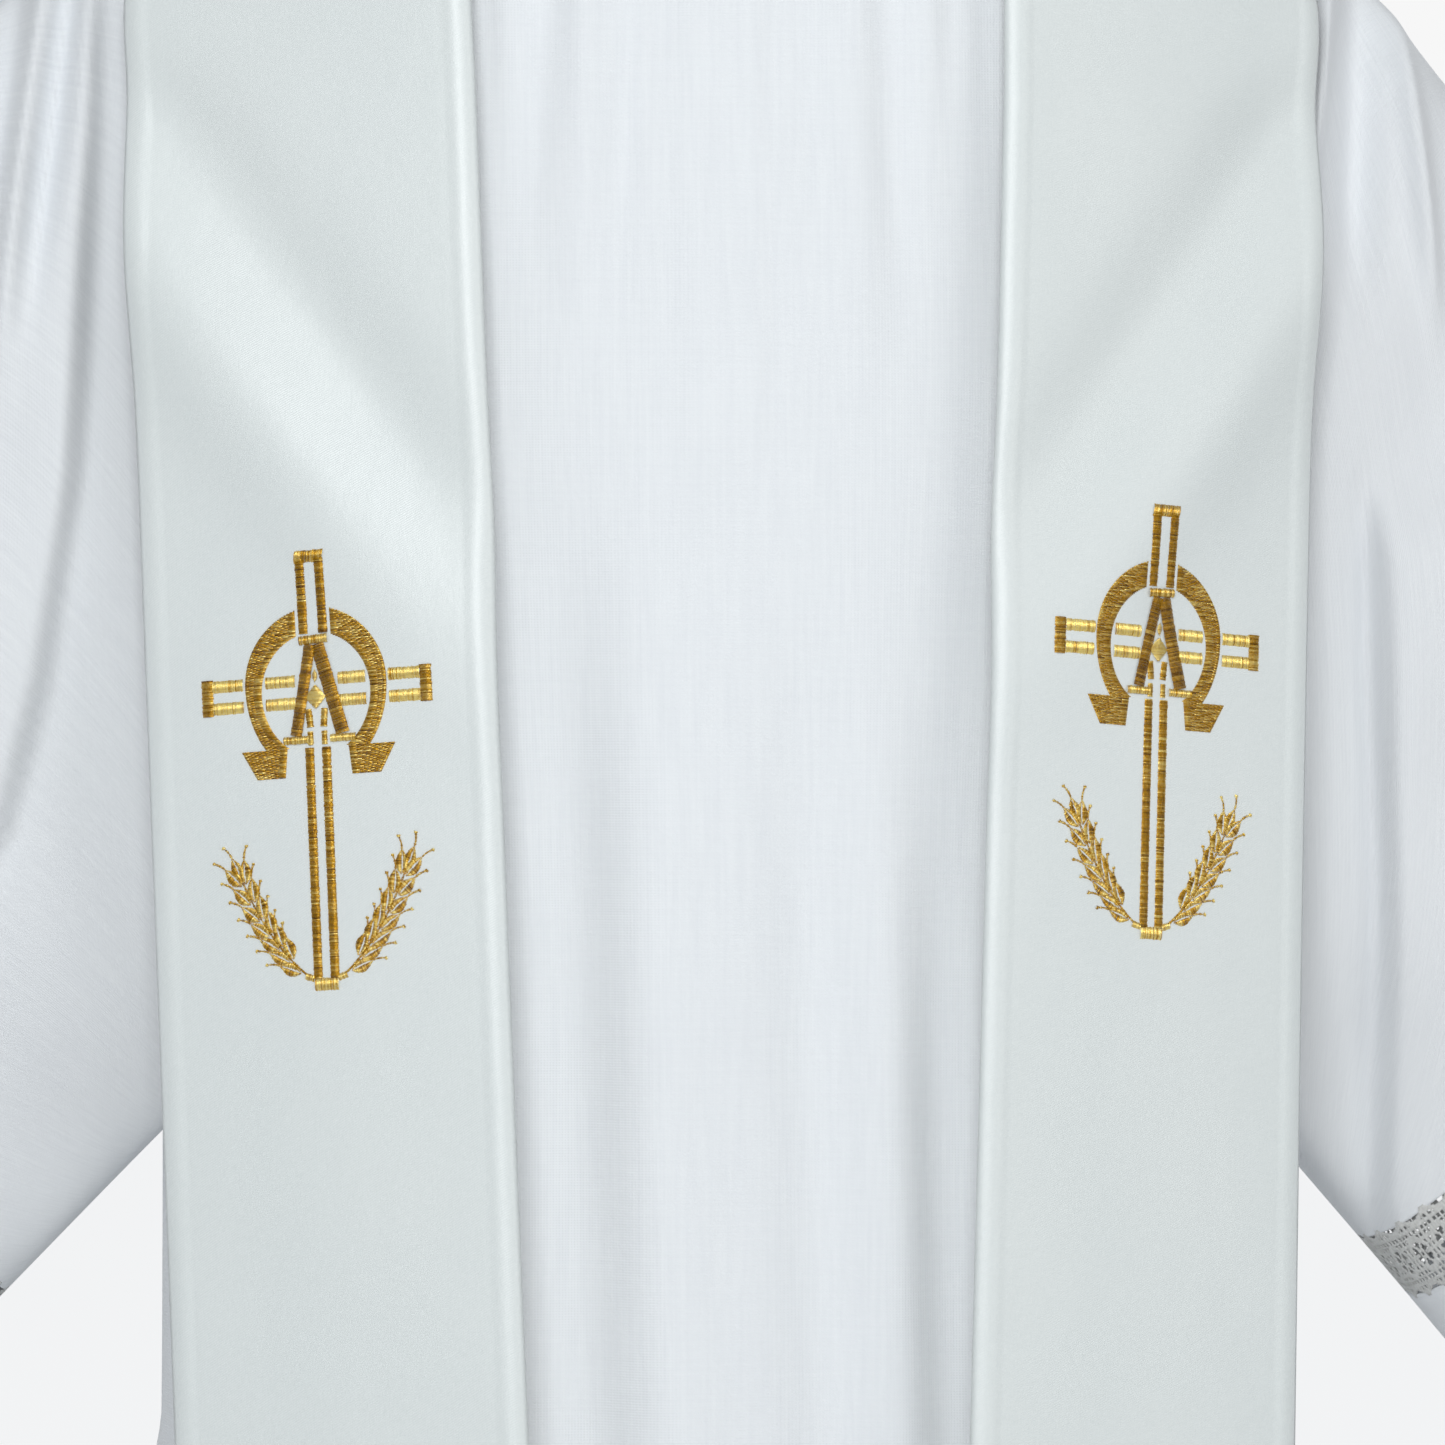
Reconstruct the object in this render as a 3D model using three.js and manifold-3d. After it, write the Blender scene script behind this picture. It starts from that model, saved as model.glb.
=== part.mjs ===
// A sleeved alb with a wide embroidered stole over it, as worn but with nobody inside.
// Millimetres. +Z is up, the front faces -Y, +X is the right-hand side as seen from the front.
// The origin is the middle of the neck at the height of the shoulder ridge.
import * as THREE from "three";
import { mergeVertices } from "three/addons/utils/BufferGeometryUtils.js";
import Module from "manifold-3d";

const wasm = await Module();
wasm.setup();

// Alb body
const ALB_LENGTH = 1450; // shoulder ridge to hem
const CHEST_HALF_WIDTH = 250;
const CHEST_HALF_DEPTH = 125;
const SECTION_POWER = 2.4; // 2 is an ellipse, more is squarer
const DEPTH_FLARE = 0.055; // spread to front and back for each millimetre of drop
const WIDTH_FLARE = 0.17; // spread to each side, from below the arms down
const WIDTH_FLARE_START = 83; // below the lower underarm
const ROUND_DROP = 100; // height of the rounded shoulder, down to the yoke seam
const RIDGE_SLOPE = 45; // how far the ridge falls from the neck to the armhole
const RIDGE_CURVE = 1.3; // above 1, the ridge steepens towards the armhole
const ARMHOLE_HALF_WIDTH = 225;
const HEM_HEIGHT = 40;
const CLOTH = 2; // thickness of each sewn panel
const HEM_CLOTH = 3;
const SEAM = 0.4; // gap between two pieces that are sewn together
// Neck
const NECK_HALF_WIDTH = 80;
const NECK_FRONT_DROP = 70; // measured round the shoulder's curve
const NECK_BACK_DROP = 33;
const COLLAR_HEIGHT = 26;
const COLLAR_CLOTH = 2.4;
const COLLAR_END = 1.5; // degrees left open on each side of the middle of the front
const COLLAR_SEAM = 0.5; // degrees at the middle of the back
const COLLAR_STANDOFF = 0.05; // inside the yoke, as a share of the yoke's width
const YOKE_SEAM = 0.5; // degrees at the shoulder ridge, and about as much at the middle
// Front opening
const PLACKET_LENGTH = 240; // from the yoke seam down
const PLACKET_WIDTH = 34;
const PLACKET_TOP = 4; // below the yoke seam
const PLACKET_CLOTH = 1.2;
const PLACKET_GAP = 1.8; // behind the front panels
const PLACKET_SPACE = 3.4; // room for the buttons between the two layers
const BUTTONS = 3;
const BUTTON_RADIUS = 5.75;
const BUTTON_THICKNESS = 2.4;
// Sleeves
const SLEEVE_UNDERARM = 193; // seam under the arm, from the armhole to the cuff's edge
const SLEEVE_WIDTH = 375; // lying flat, top fold to underarm seam
const SLEEVE_HALF_DEPTH = 60;
const SLEEVE_GAP = 3; // armhole edge of the body to the sleeve
const UNDERARM_GAP = 4; // lowest point of the armhole to the side panel
const LEFT_SLEEVE_DROOP = 46; // degrees below level
const RIGHT_SLEEVE_DROOP = 50;
const CUFF_LENGTH = 88;
const LACE_LENGTH = 37;
const LACE_CLOTH = 1.2;
const SLEEVE_SEAM_ANGLE = 0.25; // degrees left free on each side of the top and underarm seams
// Stole
const STOLE_WIDTH = 155;
const STOLE_INNER_X = 112; // inner edge at the chest
const STOLE_YAW = 22.3; // degrees, how far each fall turns round the chest
const STOLE_TILT = 4.4; // degrees, foot of each fall forwards
const STOLE_LEAN = 4; // degrees, foot of each fall towards the middle
const STOLE_STANDOFF = 12; // from the alb's front at the chest
const STOLE_LIFT = 8; // above the shoulder ridge
const STOLE_SHOULDER_OUTER_X = 204;
const STOLE_BACK_INNER_DROP = 80;
const STOLE_BACK_OUTER_DROP = 185;
const FALL_TOP = 160; // below the shoulder ridge
const FALL_LENGTH = 990;
const FALL_SHIFT = 10; // the left fall hangs this much lower, the right one this much higher
const FALL_GAP = 3;
const INNER_TAPER = 7; // how far each edge has moved in at the yoke seam
const OUTER_TAPER = 10;
const NECK_CLEARANCE = 8; // inner edge to the neck on the shoulder ridge
const BACK_TAPER = 18; // inner edge inside the neck's width on the back
const BACK_SHARE = 0.7; // of the back's drop and width, where each edge is guided
const FACE = 0.8;
const INTERLINING = 0.6;
const LINING = 0.8;
const LAYER_GAP = 0.35;
const INTERLINING_INSET = 4;
// Embroidery
const EMBLEM_CENTRE = 294; // below the top of the fall, on a fall that isn't shifted
const THREAD = 0.5; // height of one worked layer
const CROSS_TOP = 91;
const CROSS_FOOT = -90.5;
const CROSS_BAR = 13; // width of the upright
const CROSS_WALL = 4.2;
const ARM_HALF_WIDTH = 51;
const ARM_CENTRE = 33.5;
const ARM_HEIGHT = 14.2;
const OMEGA_RADIUS = 31.7;
const OMEGA_BAND = 9;
const OMEGA_CENTRE = 36.5;
const OMEGA_GAP = 15;
const OMEGA_FOOT_HALF_SPAN = 36.3;
const OMEGA_FOOT_HEIGHT = 11;
const OMEGA_FOOT_BOTTOM = -2.7;
const OMEGA_FOOT_LENGTH = 22;
const OMEGA_END_ANGLE = 62; // degrees below level, where the ring meets its foot
const OMEGA_SERIF = 3; // how far the foot's point leans out
const ALPHA_TOP = 56;
const ALPHA_BOTTOM = 11.5;
const ALPHA_HALF_WIDTH = 13;
const ALPHA_LEG = 4.6;
const SERIF = 3.6;
const TOP_SERIF_HALF = 6.5;
const FOOT_SERIF_HALF = 5.5;
const CROSSBAR_SHARE = 0.35; // of the way up the alpha
const LEG_TOP_X = 1.2;
const EAR_ROWS = 5;
const EAR_STALK = [[8, -83], [26, -66], [37, -38]]; // start, bend and tip
const STALK_WIDTH = 1.6;
const STALK_STEPS = 5;
const GRAIN_SPREAD = 24; // degrees from the stalk
const GRAIN_LENGTH = 9.6;
const GRAIN_WIDTH = 4.6;

const rad = THREE.MathUtils.degToRad;
const { lerp, clamp } = THREE.MathUtils;
const garment = new THREE.Group();

const material = (color, roughness, metalness = 0) =>
  new THREE.MeshStandardMaterial({ color, roughness, metalness });
const COTTON = [0xf1f4f7, 0.85];
const LACE = [0xe4e6e8, 0.9];
const SATIN = [0xdfe6e6, 0.45];
const LINING_CLOTH = [0xe9e7dd, 0.6];
const FELT = [0xe3e3df, 0.95];
const GOLD = [0xb88420, 0.35, 0.7];
const PEARL = [0xf2f0ea, 0.3];

function add(name, geometry, finish, parent = garment) {
  const mesh = new THREE.Mesh(geometry, material(...finish));
  mesh.name = name;
  parent.add(mesh);
  return mesh;
}

// A thin piece of cloth: a flat box whose two faces follow at(u, v), u round and v down.
// The outer face stands out from at() by out, and the inner face lies thick behind it.
// Both faces are split along the same diagonals, so the cloth stays as thick where it twists.
const OUTER_FACE = 3; // of a box's six faces, the one towards -Y
function cloth(at, across, down, thick, out = 0) {
  const box = new THREE.BoxGeometry(1, 1, 1, across, 1, down);
  const { start, count } = box.groups[OUTER_FACE];
  for (let i = start; i < start + count; i += 6) {
    const [a, b, d, , c] = box.index.array.slice(i, i + 6);
    box.index.array.set([a, b, c, a, c, d], i);
  }
  const position = box.getAttribute("position");
  const step = 1e-3;
  for (let i = 0; i < position.count; i++) {
    const u = position.getX(i) + 0.5;
    const v = 0.5 - position.getZ(i);
    const along = at(u + step, v).sub(at(u - step, v));
    const below = at(u, v + step).sub(at(u, v - step));
    const normal = below.cross(along).normalize();
    const depth = position.getY(i) < 0 ? out : out - thick;
    const point = at(u, v).addScaledVector(normal, depth);
    position.setXYZ(i, point.x, point.y, point.z);
  }
  return box;
}

// Underarm: how far down each side panel starts, and where the sides start to flare
const SHOULDER_POINT_X = ARMHOLE_HALF_WIDTH + SLEEVE_GAP;
const SHOULDER_POINT_Z = -RIDGE_SLOPE - CLOTH - SLEEVE_GAP;
const SIDE_BULGE = CHEST_HALF_WIDTH - ARMHOLE_HALF_WIDTH;
const underarmDrop = (droop) => -SHOULDER_POINT_Z + SLEEVE_WIDTH / Math.cos(rad(droop)) +
  SIDE_BULGE * Math.tan(rad(droop)) + UNDERARM_GAP;
const lowestUnderarm = underarmDrop(Math.max(RIGHT_SLEEVE_DROOP, LEFT_SLEEVE_DROOP));
const flareDrop = lowestUnderarm + WIDTH_FLARE_START;

// Body section and skin
const power = (value, exponent) => Math.sign(value) * Math.abs(value) ** exponent;
const ridge = (x) => -RIDGE_SLOPE *
  (Math.max(Math.abs(x) - NECK_HALF_WIDTH, 0) / (ARMHOLE_HALF_WIDTH - NECK_HALF_WIDTH)) ** RIDGE_CURVE;
const halfDepth = (drop) => CHEST_HALF_DEPTH + DEPTH_FLARE * Math.max(drop - ROUND_DROP, 0);
const halfWidth = (drop) => CHEST_HALF_WIDTH + WIDTH_FLARE * Math.max(drop - flareDrop, 0);
const shoulderTurn = (drop) => clamp(drop / ROUND_DROP, -1, 1) * Math.PI / 2;
const fallOf = (drop) =>
  Math.abs(drop) < ROUND_DROP ? ROUND_DROP * (1 - Math.cos(shoulderTurn(drop))) : Math.abs(drop);
const angleOf = (x, drop = 0) => Math.asin(power(x / halfWidth(drop), SECTION_POWER / 2));
const ARMHOLE_ANGLE = angleOf(ARMHOLE_HALF_WIDTH);

// A point on the alb: angle 0 is the middle of the front, 90 degrees the right side, 180 the back.
function skin(angle, drop) {
  const side = power(Math.sin(angle), 2 / SECTION_POWER);
  const face = power(Math.cos(angle), 2 / SECTION_POWER);
  const turn = shoulderTurn(drop);
  const x = side * halfWidth(drop);
  const z = ridge(x) * Math.cos(turn) - fallOf(drop);
  return new THREE.Vector3(x, -face * halfDepth(drop) * Math.sin(turn), z);
}

// Yokes, from the neck's oval out to the yoke seam and the armhole
const NECK_ANGLE = angleOf(NECK_HALF_WIDTH);
function yokePoint(theta, v) {
  const back = Math.cos(theta) < 0;
  const turned = Math.abs(Math.atan2(Math.sin(theta), Math.abs(Math.cos(theta))));
  const hand = Math.sin(theta) < 0 ? -1 : 1;
  const corner = Math.PI / 4;
  const neckDrop = (back ? NECK_BACK_DROP : NECK_FRONT_DROP) * Math.cos(turned);
  const neckAngle = NECK_ANGLE * Math.sin(turned);
  const seamDrop = ROUND_DROP * clamp((Math.PI / 2 - turned) / corner, 0, 1);
  const seamAngle = ARMHOLE_ANGLE * clamp(turned / corner, 0, 1);
  const angle = lerp(neckAngle, seamAngle, v);
  const drop = lerp(neckDrop, seamDrop, v);
  return skin(hand * (back ? Math.PI - angle : angle), drop);
}

const YOKES = [["front_right", 0], ["front_left", -90], ["back_right", 90], ["back_left", 180]];
const YOKE_EDGE = 0.01; // left free inside and outside, as a share of the yoke's width
for (const [place, from] of YOKES) {
  const turnOf = (u) => rad(lerp(from + YOKE_SEAM, from + 90 - YOKE_SEAM, u));
  const at = (u, v) => yokePoint(turnOf(u), lerp(YOKE_EDGE, 1 - YOKE_EDGE, v));
  add("yoke_" + place, cloth(at, 6, 4, CLOTH), COTTON);
}

// Collar: a low stand round the neck's oval, open at the middle of the front
function collarPoint(theta, v) {
  const foot = yokePoint(theta, -COLLAR_STANDOFF);
  foot.z += lerp(COLLAR_HEIGHT, COLLAR_CLOTH + 1, v);
  return foot;
}
const COLLARS = [
  ["collar_right", COLLAR_END, 180 - COLLAR_SEAM],
  ["collar_left", 180 + COLLAR_SEAM, 360 - COLLAR_END],
];
for (const [name, from, to] of COLLARS) {
  const at = (u, v) => collarPoint(rad(lerp(from, to, u)), v);
  add(name, cloth(at, 10, 1, COLLAR_CLOTH), COTTON);
}

// Front, back and side panels, from the yoke seam or the underarm to the hem, with a hem band each
const HEM_TOP = ALB_LENGTH - HEM_HEIGHT;
const FIRST_DROP = ROUND_DROP + SEAM * 2;
function panelAt(fromAngle, toAngle, fromDrop, toDrop) {
  return (u, v) => skin(lerp(fromAngle, toAngle, u), lerp(fromDrop, toDrop, v));
}
// A long panel has as many rows above the drop where the sides start to flare as below it, so that
// neighbouring panels share the rows of their flared part.
const PANEL_ROWS = 6;
function longPanelAt(fromAngle, toAngle, fromDrop) {
  const dropOf = (v) =>
    v < 0.5 ? lerp(fromDrop, flareDrop, v * 2) : lerp(flareDrop, HEM_TOP, v * 2 - 1);
  return (u, v) => skin(lerp(fromAngle, toAngle, u), dropOf(v));
}
const MIDDLE_ANGLE = angleOf(SEAM);
const SIDE_SEAM_ANGLE = 0.004; // radians
const FRONT = [MIDDLE_ANGLE, ARMHOLE_ANGLE];
const BACK = [Math.PI - ARMHOLE_ANGLE, Math.PI - MIDDLE_ANGLE];
const SIDE = [ARMHOLE_ANGLE + SIDE_SEAM_ANGLE, Math.PI - ARMHOLE_ANGLE - SIDE_SEAM_ANGLE];
const PANELS = [
  ["front_panel_right", ...FRONT, FIRST_DROP, 5],
  ["front_panel_left", -FRONT[1], -FRONT[0], FIRST_DROP, 5],
  ["back_panel_right", ...BACK, FIRST_DROP, 5],
  ["back_panel_left", -BACK[1], -BACK[0], FIRST_DROP, 5],
  ["side_panel_right", ...SIDE, underarmDrop(RIGHT_SLEEVE_DROOP), 4],
  ["side_panel_left", -SIDE[1], -SIDE[0], underarmDrop(LEFT_SLEEVE_DROOP), 4],
];
for (const [name, from, to, top, across] of PANELS) {
  add(name, cloth(longPanelAt(from, to, top), across, PANEL_ROWS, CLOTH), COTTON);
  const hem = panelAt(from, to, HEM_TOP + SEAM, ALB_LENGTH);
  add(name.replace("panel", "hem"), cloth(hem, across, 1, HEM_CLOTH), COTTON);
}

// Placket: an inner and an outer strip behind the middle of the front, buttons between them
const placket = new THREE.Group();
placket.position.set(0, -CHEST_HALF_DEPTH, -ROUND_DROP);
placket.rotation.x = -Math.atan(DEPTH_FLARE);
garment.add(placket);
const outerStripY = CLOTH + PLACKET_GAP;
const buttonY = outerStripY + PLACKET_CLOTH + (PLACKET_SPACE - BUTTON_THICKNESS) / 2;
const innerStripY = outerStripY + PLACKET_CLOTH + PLACKET_SPACE;
const strip = () => new THREE.BoxGeometry(PLACKET_WIDTH, PLACKET_CLOTH, PLACKET_LENGTH);
for (const [name, y] of [["placket_outer_strip", outerStripY], ["placket_inner_strip", innerStripY]]) {
  const piece = add(name, strip(), COTTON, placket);
  piece.position.set(0, y + PLACKET_CLOTH / 2, -PLACKET_LENGTH / 2 - PLACKET_TOP);
}
for (let i = 0; i < BUTTONS; i++) {
  const disc = new THREE.CylinderGeometry(BUTTON_RADIUS, BUTTON_RADIUS, BUTTON_THICKNESS, 16);
  const button = add("placket_button_" + (i + 1), disc, PEARL, placket);
  const share = (i + 0.5) / BUTTONS;
  button.position.set(0, buttonY + BUTTON_THICKNESS / 2, -PLACKET_TOP - PLACKET_LENGTH * share);
}

// Sleeves: a wide flat tube from the armhole plane, in a front and a back half
const SLEEVE_SQUARENESS = 0.75;
function sleevePoint(droop, turn, along) {
  const slope = rad(droop);
  const width = (SLEEVE_WIDTH / 2) * (1 - Math.cos(turn));
  const start = width * Math.tan(slope);
  const run = along < 0 ? start : Math.max(start, along);
  return new THREE.Vector3(
    SHOULDER_POINT_X + run * Math.cos(slope) - width * Math.sin(slope),
    -power(Math.sin(turn), SLEEVE_SQUARENESS) * SLEEVE_HALF_DEPTH,
    SHOULDER_POINT_Z - run * Math.sin(slope) - width * Math.cos(slope),
  );
}
const steepest = rad(Math.max(RIGHT_SLEEVE_DROOP, LEFT_SLEEVE_DROOP));
const sleeveLength = SLEEVE_WIDTH * Math.tan(steepest) + SLEEVE_UNDERARM; // along the top
const laceEnd = sleeveLength - CUFF_LENGTH;
const laceStart = laceEnd - LACE_LENGTH;
const mirrored = (at) => (u, v) => at(1 - u, v).multiply(new THREE.Vector3(-1, 1, 1));
for (const [hand, droop] of [["right", RIGHT_SLEEVE_DROOP], ["left", LEFT_SLEEVE_DROOP]]) {
  const place = hand === "left" ? mirrored : (at) => at;
  for (const [half, from, to] of [["front", 180, 0], ["back", 360, 180]]) {
    const turnOf = (u) => rad(lerp(from - SLEEVE_SEAM_ANGLE, to + SLEEVE_SEAM_ANGLE, u));
    const body = (u, v) => {
      const turn = turnOf(u);
      const start = (SLEEVE_WIDTH / 2) * (1 - Math.cos(turn)) * Math.tan(rad(droop));
      return sleevePoint(droop, turn, lerp(start, laceStart - SEAM, v));
    };
    const ring = (low, high) => (u, v) => sleevePoint(droop, turnOf(u), lerp(low, high, v));
    const name = hand + "_sleeve_" + half;
    add(name, cloth(place(body), 9, 5, CLOTH), COTTON);
    const lace = cloth(place(ring(laceStart, laceEnd - SEAM)), 9, 1, LACE_CLOTH);
    add(hand + "_lace_" + half, lace, LACE);
    const cuff = cloth(place(ring(laceEnd, sleeveLength)), 9, 1, CLOTH);
    add(hand + "_cuff_" + half, cuff, COTTON);
  }
}

// Stole over the shoulders: its two edges as curves over the ridge, x against drop
const yawSlope = Math.tan(rad(STOLE_YAW));
const STOLE_OUTER_X = STOLE_INNER_X + STOLE_WIDTH * Math.cos(rad(STOLE_YAW));
const sectionY = (x) => CHEST_HALF_DEPTH *
  Math.max(1 - (x / CHEST_HALF_WIDTH) ** SECTION_POWER, 0) ** (1 / SECTION_POWER);
const SECTION_PLACES = 9; // where the yawed fall is held clear of the chest
const forward = Array.from({ length: SECTION_PLACES }, (_, i) => {
  const x = lerp(STOLE_INNER_X, STOLE_OUTER_X, i / (SECTION_PLACES - 1));
  return sectionY(x) + yawSlope * (x - STOLE_INNER_X);
});
const chestY = Math.max(...forward) + STOLE_STANDOFF;
const shoulderFoot = -FALL_TOP + FALL_GAP;
const edge = (points) => new THREE.SplineCurve(points.map(([x, drop]) => new THREE.Vector2(x, drop)));
const innerEdge = edge([
  [STOLE_INNER_X, shoulderFoot],
  [STOLE_INNER_X - INNER_TAPER, -ROUND_DROP],
  [NECK_HALF_WIDTH + NECK_CLEARANCE, 0],
  [NECK_HALF_WIDTH - BACK_TAPER, STOLE_BACK_INNER_DROP * BACK_SHARE],
  [SEAM, STOLE_BACK_INNER_DROP],
]);
const outerEdge = edge([
  [STOLE_OUTER_X, shoulderFoot],
  [STOLE_OUTER_X - OUTER_TAPER, -ROUND_DROP],
  [STOLE_SHOULDER_OUTER_X, 0],
  [STOLE_SHOULDER_OUTER_X * BACK_SHARE, STOLE_BACK_OUTER_DROP * BACK_SHARE],
  [SEAM, STOLE_BACK_OUTER_DROP],
]);
function stoleSkin(x, drop) {
  const turn = shoulderTurn(drop);
  const depth = chestY - yawSlope * Math.max(x - STOLE_INNER_X, 0);
  const flare = DEPTH_FLARE * Math.max(Math.abs(drop) - ROUND_DROP, 0);
  const z = (ridge(x) + STOLE_LIFT) * Math.cos(turn) - fallOf(drop);
  return new THREE.Vector3(x, depth * Math.sin(turn) + Math.sign(drop) * flare, z);
}
// u runs from the inner to the outer edge, v from the seam at the back down to the chest.
const stoleAt = (u, v) => {
  const share = clamp(1 - v, 0, 1);
  const inner = innerEdge.getPoint(share);
  const outer = outerEdge.getPoint(share);
  return stoleSkin(lerp(inner.x, outer.x, u), lerp(inner.y, outer.y, u));
};
const UPPER_LAYERS = [["face", FACE, 0, SATIN], ["lining", LINING, -FACE - LAYER_GAP, LINING_CLOTH]];
for (const [layer, thick, out, finish] of UPPER_LAYERS) {
  add("stole_shoulder_" + layer + "_right", cloth(stoleAt, 4, 20, thick, out), finish);
  add("stole_shoulder_" + layer + "_left", cloth(mirrored(stoleAt), 4, 20, thick, out), finish);
}

// Joins closed meshes into one.
function solidOf(geometry) {
  const plain = geometry.clone();
  plain.deleteAttribute("normal");
  plain.deleteAttribute("uv");
  const merged = mergeVertices(plain, 1e-3);
  const vertProperties = new Float32Array(merged.attributes.position.array);
  const triVerts = new Uint32Array(merged.index.array);
  return new wasm.Manifold(new wasm.Mesh({ numProp: 3, vertProperties, triVerts }));
}
function joined(geometries) {
  const whole = geometries.map(solidOf).reduce((sum, next) => sum.add(next));
  const mesh = whole.getMesh();
  const geometry = new THREE.BufferGeometry();
  geometry.setAttribute("position", new THREE.BufferAttribute(mesh.vertProperties.slice(), 3));
  geometry.setIndex(new THREE.BufferAttribute(mesh.triVerts.slice(), 1));
  return geometry;
}

// A worked shape: drawn flat, x across and y up, and raised towards the front.
function worked(shape, steps = 6) {
  const raised = new THREE.ExtrudeGeometry(shape, {
    depth: THREAD, bevelEnabled: false, curveSegments: steps,
  });
  return raised.rotateX(Math.PI / 2);
}
const outline = (points) => new THREE.Shape(points.map(([x, y]) => new THREE.Vector2(x, y)));

function crossOutline(armX, armY, barX, top, foot) {
  return [
    [-barX, foot], [barX, foot], [barX, ARM_CENTRE - armY], [armX, ARM_CENTRE - armY],
    [armX, ARM_CENTRE + armY], [barX, ARM_CENTRE + armY], [barX, top], [-barX, top],
    [-barX, ARM_CENTRE + armY], [-armX, ARM_CENTRE + armY],
    [-armX, ARM_CENTRE - armY], [-barX, ARM_CENTRE - armY],
  ];
}
function crossGeometry() {
  const shape = outline(
    crossOutline(ARM_HALF_WIDTH, ARM_HEIGHT / 2, CROSS_BAR / 2, CROSS_TOP, CROSS_FOOT),
  );
  shape.holes.push(outline(crossOutline(
    ARM_HALF_WIDTH - CROSS_WALL, ARM_HEIGHT / 2 - CROSS_WALL, CROSS_BAR / 2 - CROSS_WALL,
    CROSS_TOP - CROSS_WALL, CROSS_FOOT + CROSS_WALL,
  )));
  return worked(shape);
}

// Half of the omega: an arc from the gap at the top down to a foot with a pointed end.
function omegaGeometry(hand) {
  const inner = OMEGA_RADIUS - OMEGA_BAND;
  const top = Math.PI / 2 - Math.asin(OMEGA_GAP / 2 / OMEGA_RADIUS);
  const low = -rad(OMEGA_END_ANGLE);
  const shape = new THREE.Shape();
  shape.absarc(0, OMEGA_CENTRE, OMEGA_RADIUS, top, low, true);
  const footTop = OMEGA_FOOT_BOTTOM + OMEGA_FOOT_HEIGHT;
  shape.lineTo(OMEGA_FOOT_HALF_SPAN, footTop);
  shape.lineTo(OMEGA_FOOT_HALF_SPAN - OMEGA_SERIF, OMEGA_FOOT_BOTTOM);
  shape.lineTo(OMEGA_FOOT_HALF_SPAN - OMEGA_FOOT_LENGTH, OMEGA_FOOT_BOTTOM);
  shape.absarc(0, OMEGA_CENTRE, inner, low, top, false);
  const piece = worked(shape, 10);
  return hand > 0 ? piece : mirrorX(piece);
}
function mirrorX(geometry) {
  const flat = geometry.index ? geometry.toNonIndexed() : geometry;
  const position = flat.getAttribute("position");
  const corners = Array.from({ length: position.count }, (_, i) =>
    new THREE.Vector3(-position.getX(i), position.getY(i), position.getZ(i)));
  for (let i = 0; i < corners.length; i += 3) {
    [corners[i], corners[i + 1]] = [corners[i + 1], corners[i]];
  }
  return new THREE.BufferGeometry().setFromPoints(corners);
}

function bar(x0, y0, x1, y1, width) {
  const along = new THREE.Vector2(x1 - x0, y1 - y0).normalize();
  const side = new THREE.Vector2(-along.y, along.x).multiplyScalar(width / 2);
  return worked(outline([
    [x0 - side.x, y0 - side.y], [x1 - side.x, y1 - side.y],
    [x1 + side.x, y1 + side.y], [x0 + side.x, y0 + side.y],
  ]));
}
function alphaGeometry() {
  const crossbar = lerp(ALPHA_BOTTOM, ALPHA_TOP, CROSSBAR_SHARE);
  const pieces = [
    bar(-TOP_SERIF_HALF, ALPHA_TOP, TOP_SERIF_HALF, ALPHA_TOP, SERIF),
    bar(-ALPHA_HALF_WIDTH * 0.6, crossbar, ALPHA_HALF_WIDTH * 0.6, crossbar, ALPHA_LEG * 1.4),
  ];
  for (const hand of [-1, 1]) {
    const foot = hand * ALPHA_HALF_WIDTH * 0.85;
    pieces.push(bar(hand * LEG_TOP_X, ALPHA_TOP, foot, ALPHA_BOTTOM, ALPHA_LEG));
    pieces.push(bar(foot - FOOT_SERIF_HALF, ALPHA_BOTTOM, foot + FOOT_SERIF_HALF, ALPHA_BOTTOM, SERIF));
  }
  return joined(pieces);
}

// An ear of wheat: a bent stalk, pairs of grains along it and one at the tip.
function earGeometry(hand) {
  const guides = EAR_STALK.map(([x, y]) => new THREE.Vector2(hand * x, y));
  const stalk = new THREE.QuadraticBezierCurve(...guides);
  const grain = (centre, angle) => {
    const shape = new THREE.Shape();
    shape.absellipse(centre.x, centre.y, GRAIN_LENGTH / 2, GRAIN_WIDTH / 2, 0, Math.PI * 2, false, angle);
    return worked(shape, 4);
  };
  const pieces = [];
  const lap = 0.08; // how far each length of stalk runs into the next
  for (let i = 0; i < STALK_STEPS; i++) {
    const a = stalk.getPoint(i / STALK_STEPS);
    const b = stalk.getPoint((i + 1 + lap) / (STALK_STEPS + lap));
    pieces.push(bar(a.x, a.y, b.x, b.y, STALK_WIDTH));
  }
  for (let i = 0; i < EAR_ROWS; i++) {
    const share = (i + 0.6) / EAR_ROWS;
    const centre = stalk.getPoint(share);
    const along = stalk.getTangent(share);
    const heading = Math.atan2(along.y, along.x);
    for (const row of [-1, 1]) {
      const off = new THREE.Vector2(-along.y, along.x).multiplyScalar(row * GRAIN_WIDTH * 0.6);
      pieces.push(grain(centre.clone().add(off), heading + row * rad(GRAIN_SPREAD)));
    }
  }
  const tip = stalk.getPoint(1);
  const end = stalk.getTangent(1);
  pieces.push(grain(tip.clone().addScaledVector(end, GRAIN_LENGTH * 0.35), Math.atan2(end.y, end.x)));
  return joined(pieces);
}

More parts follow.
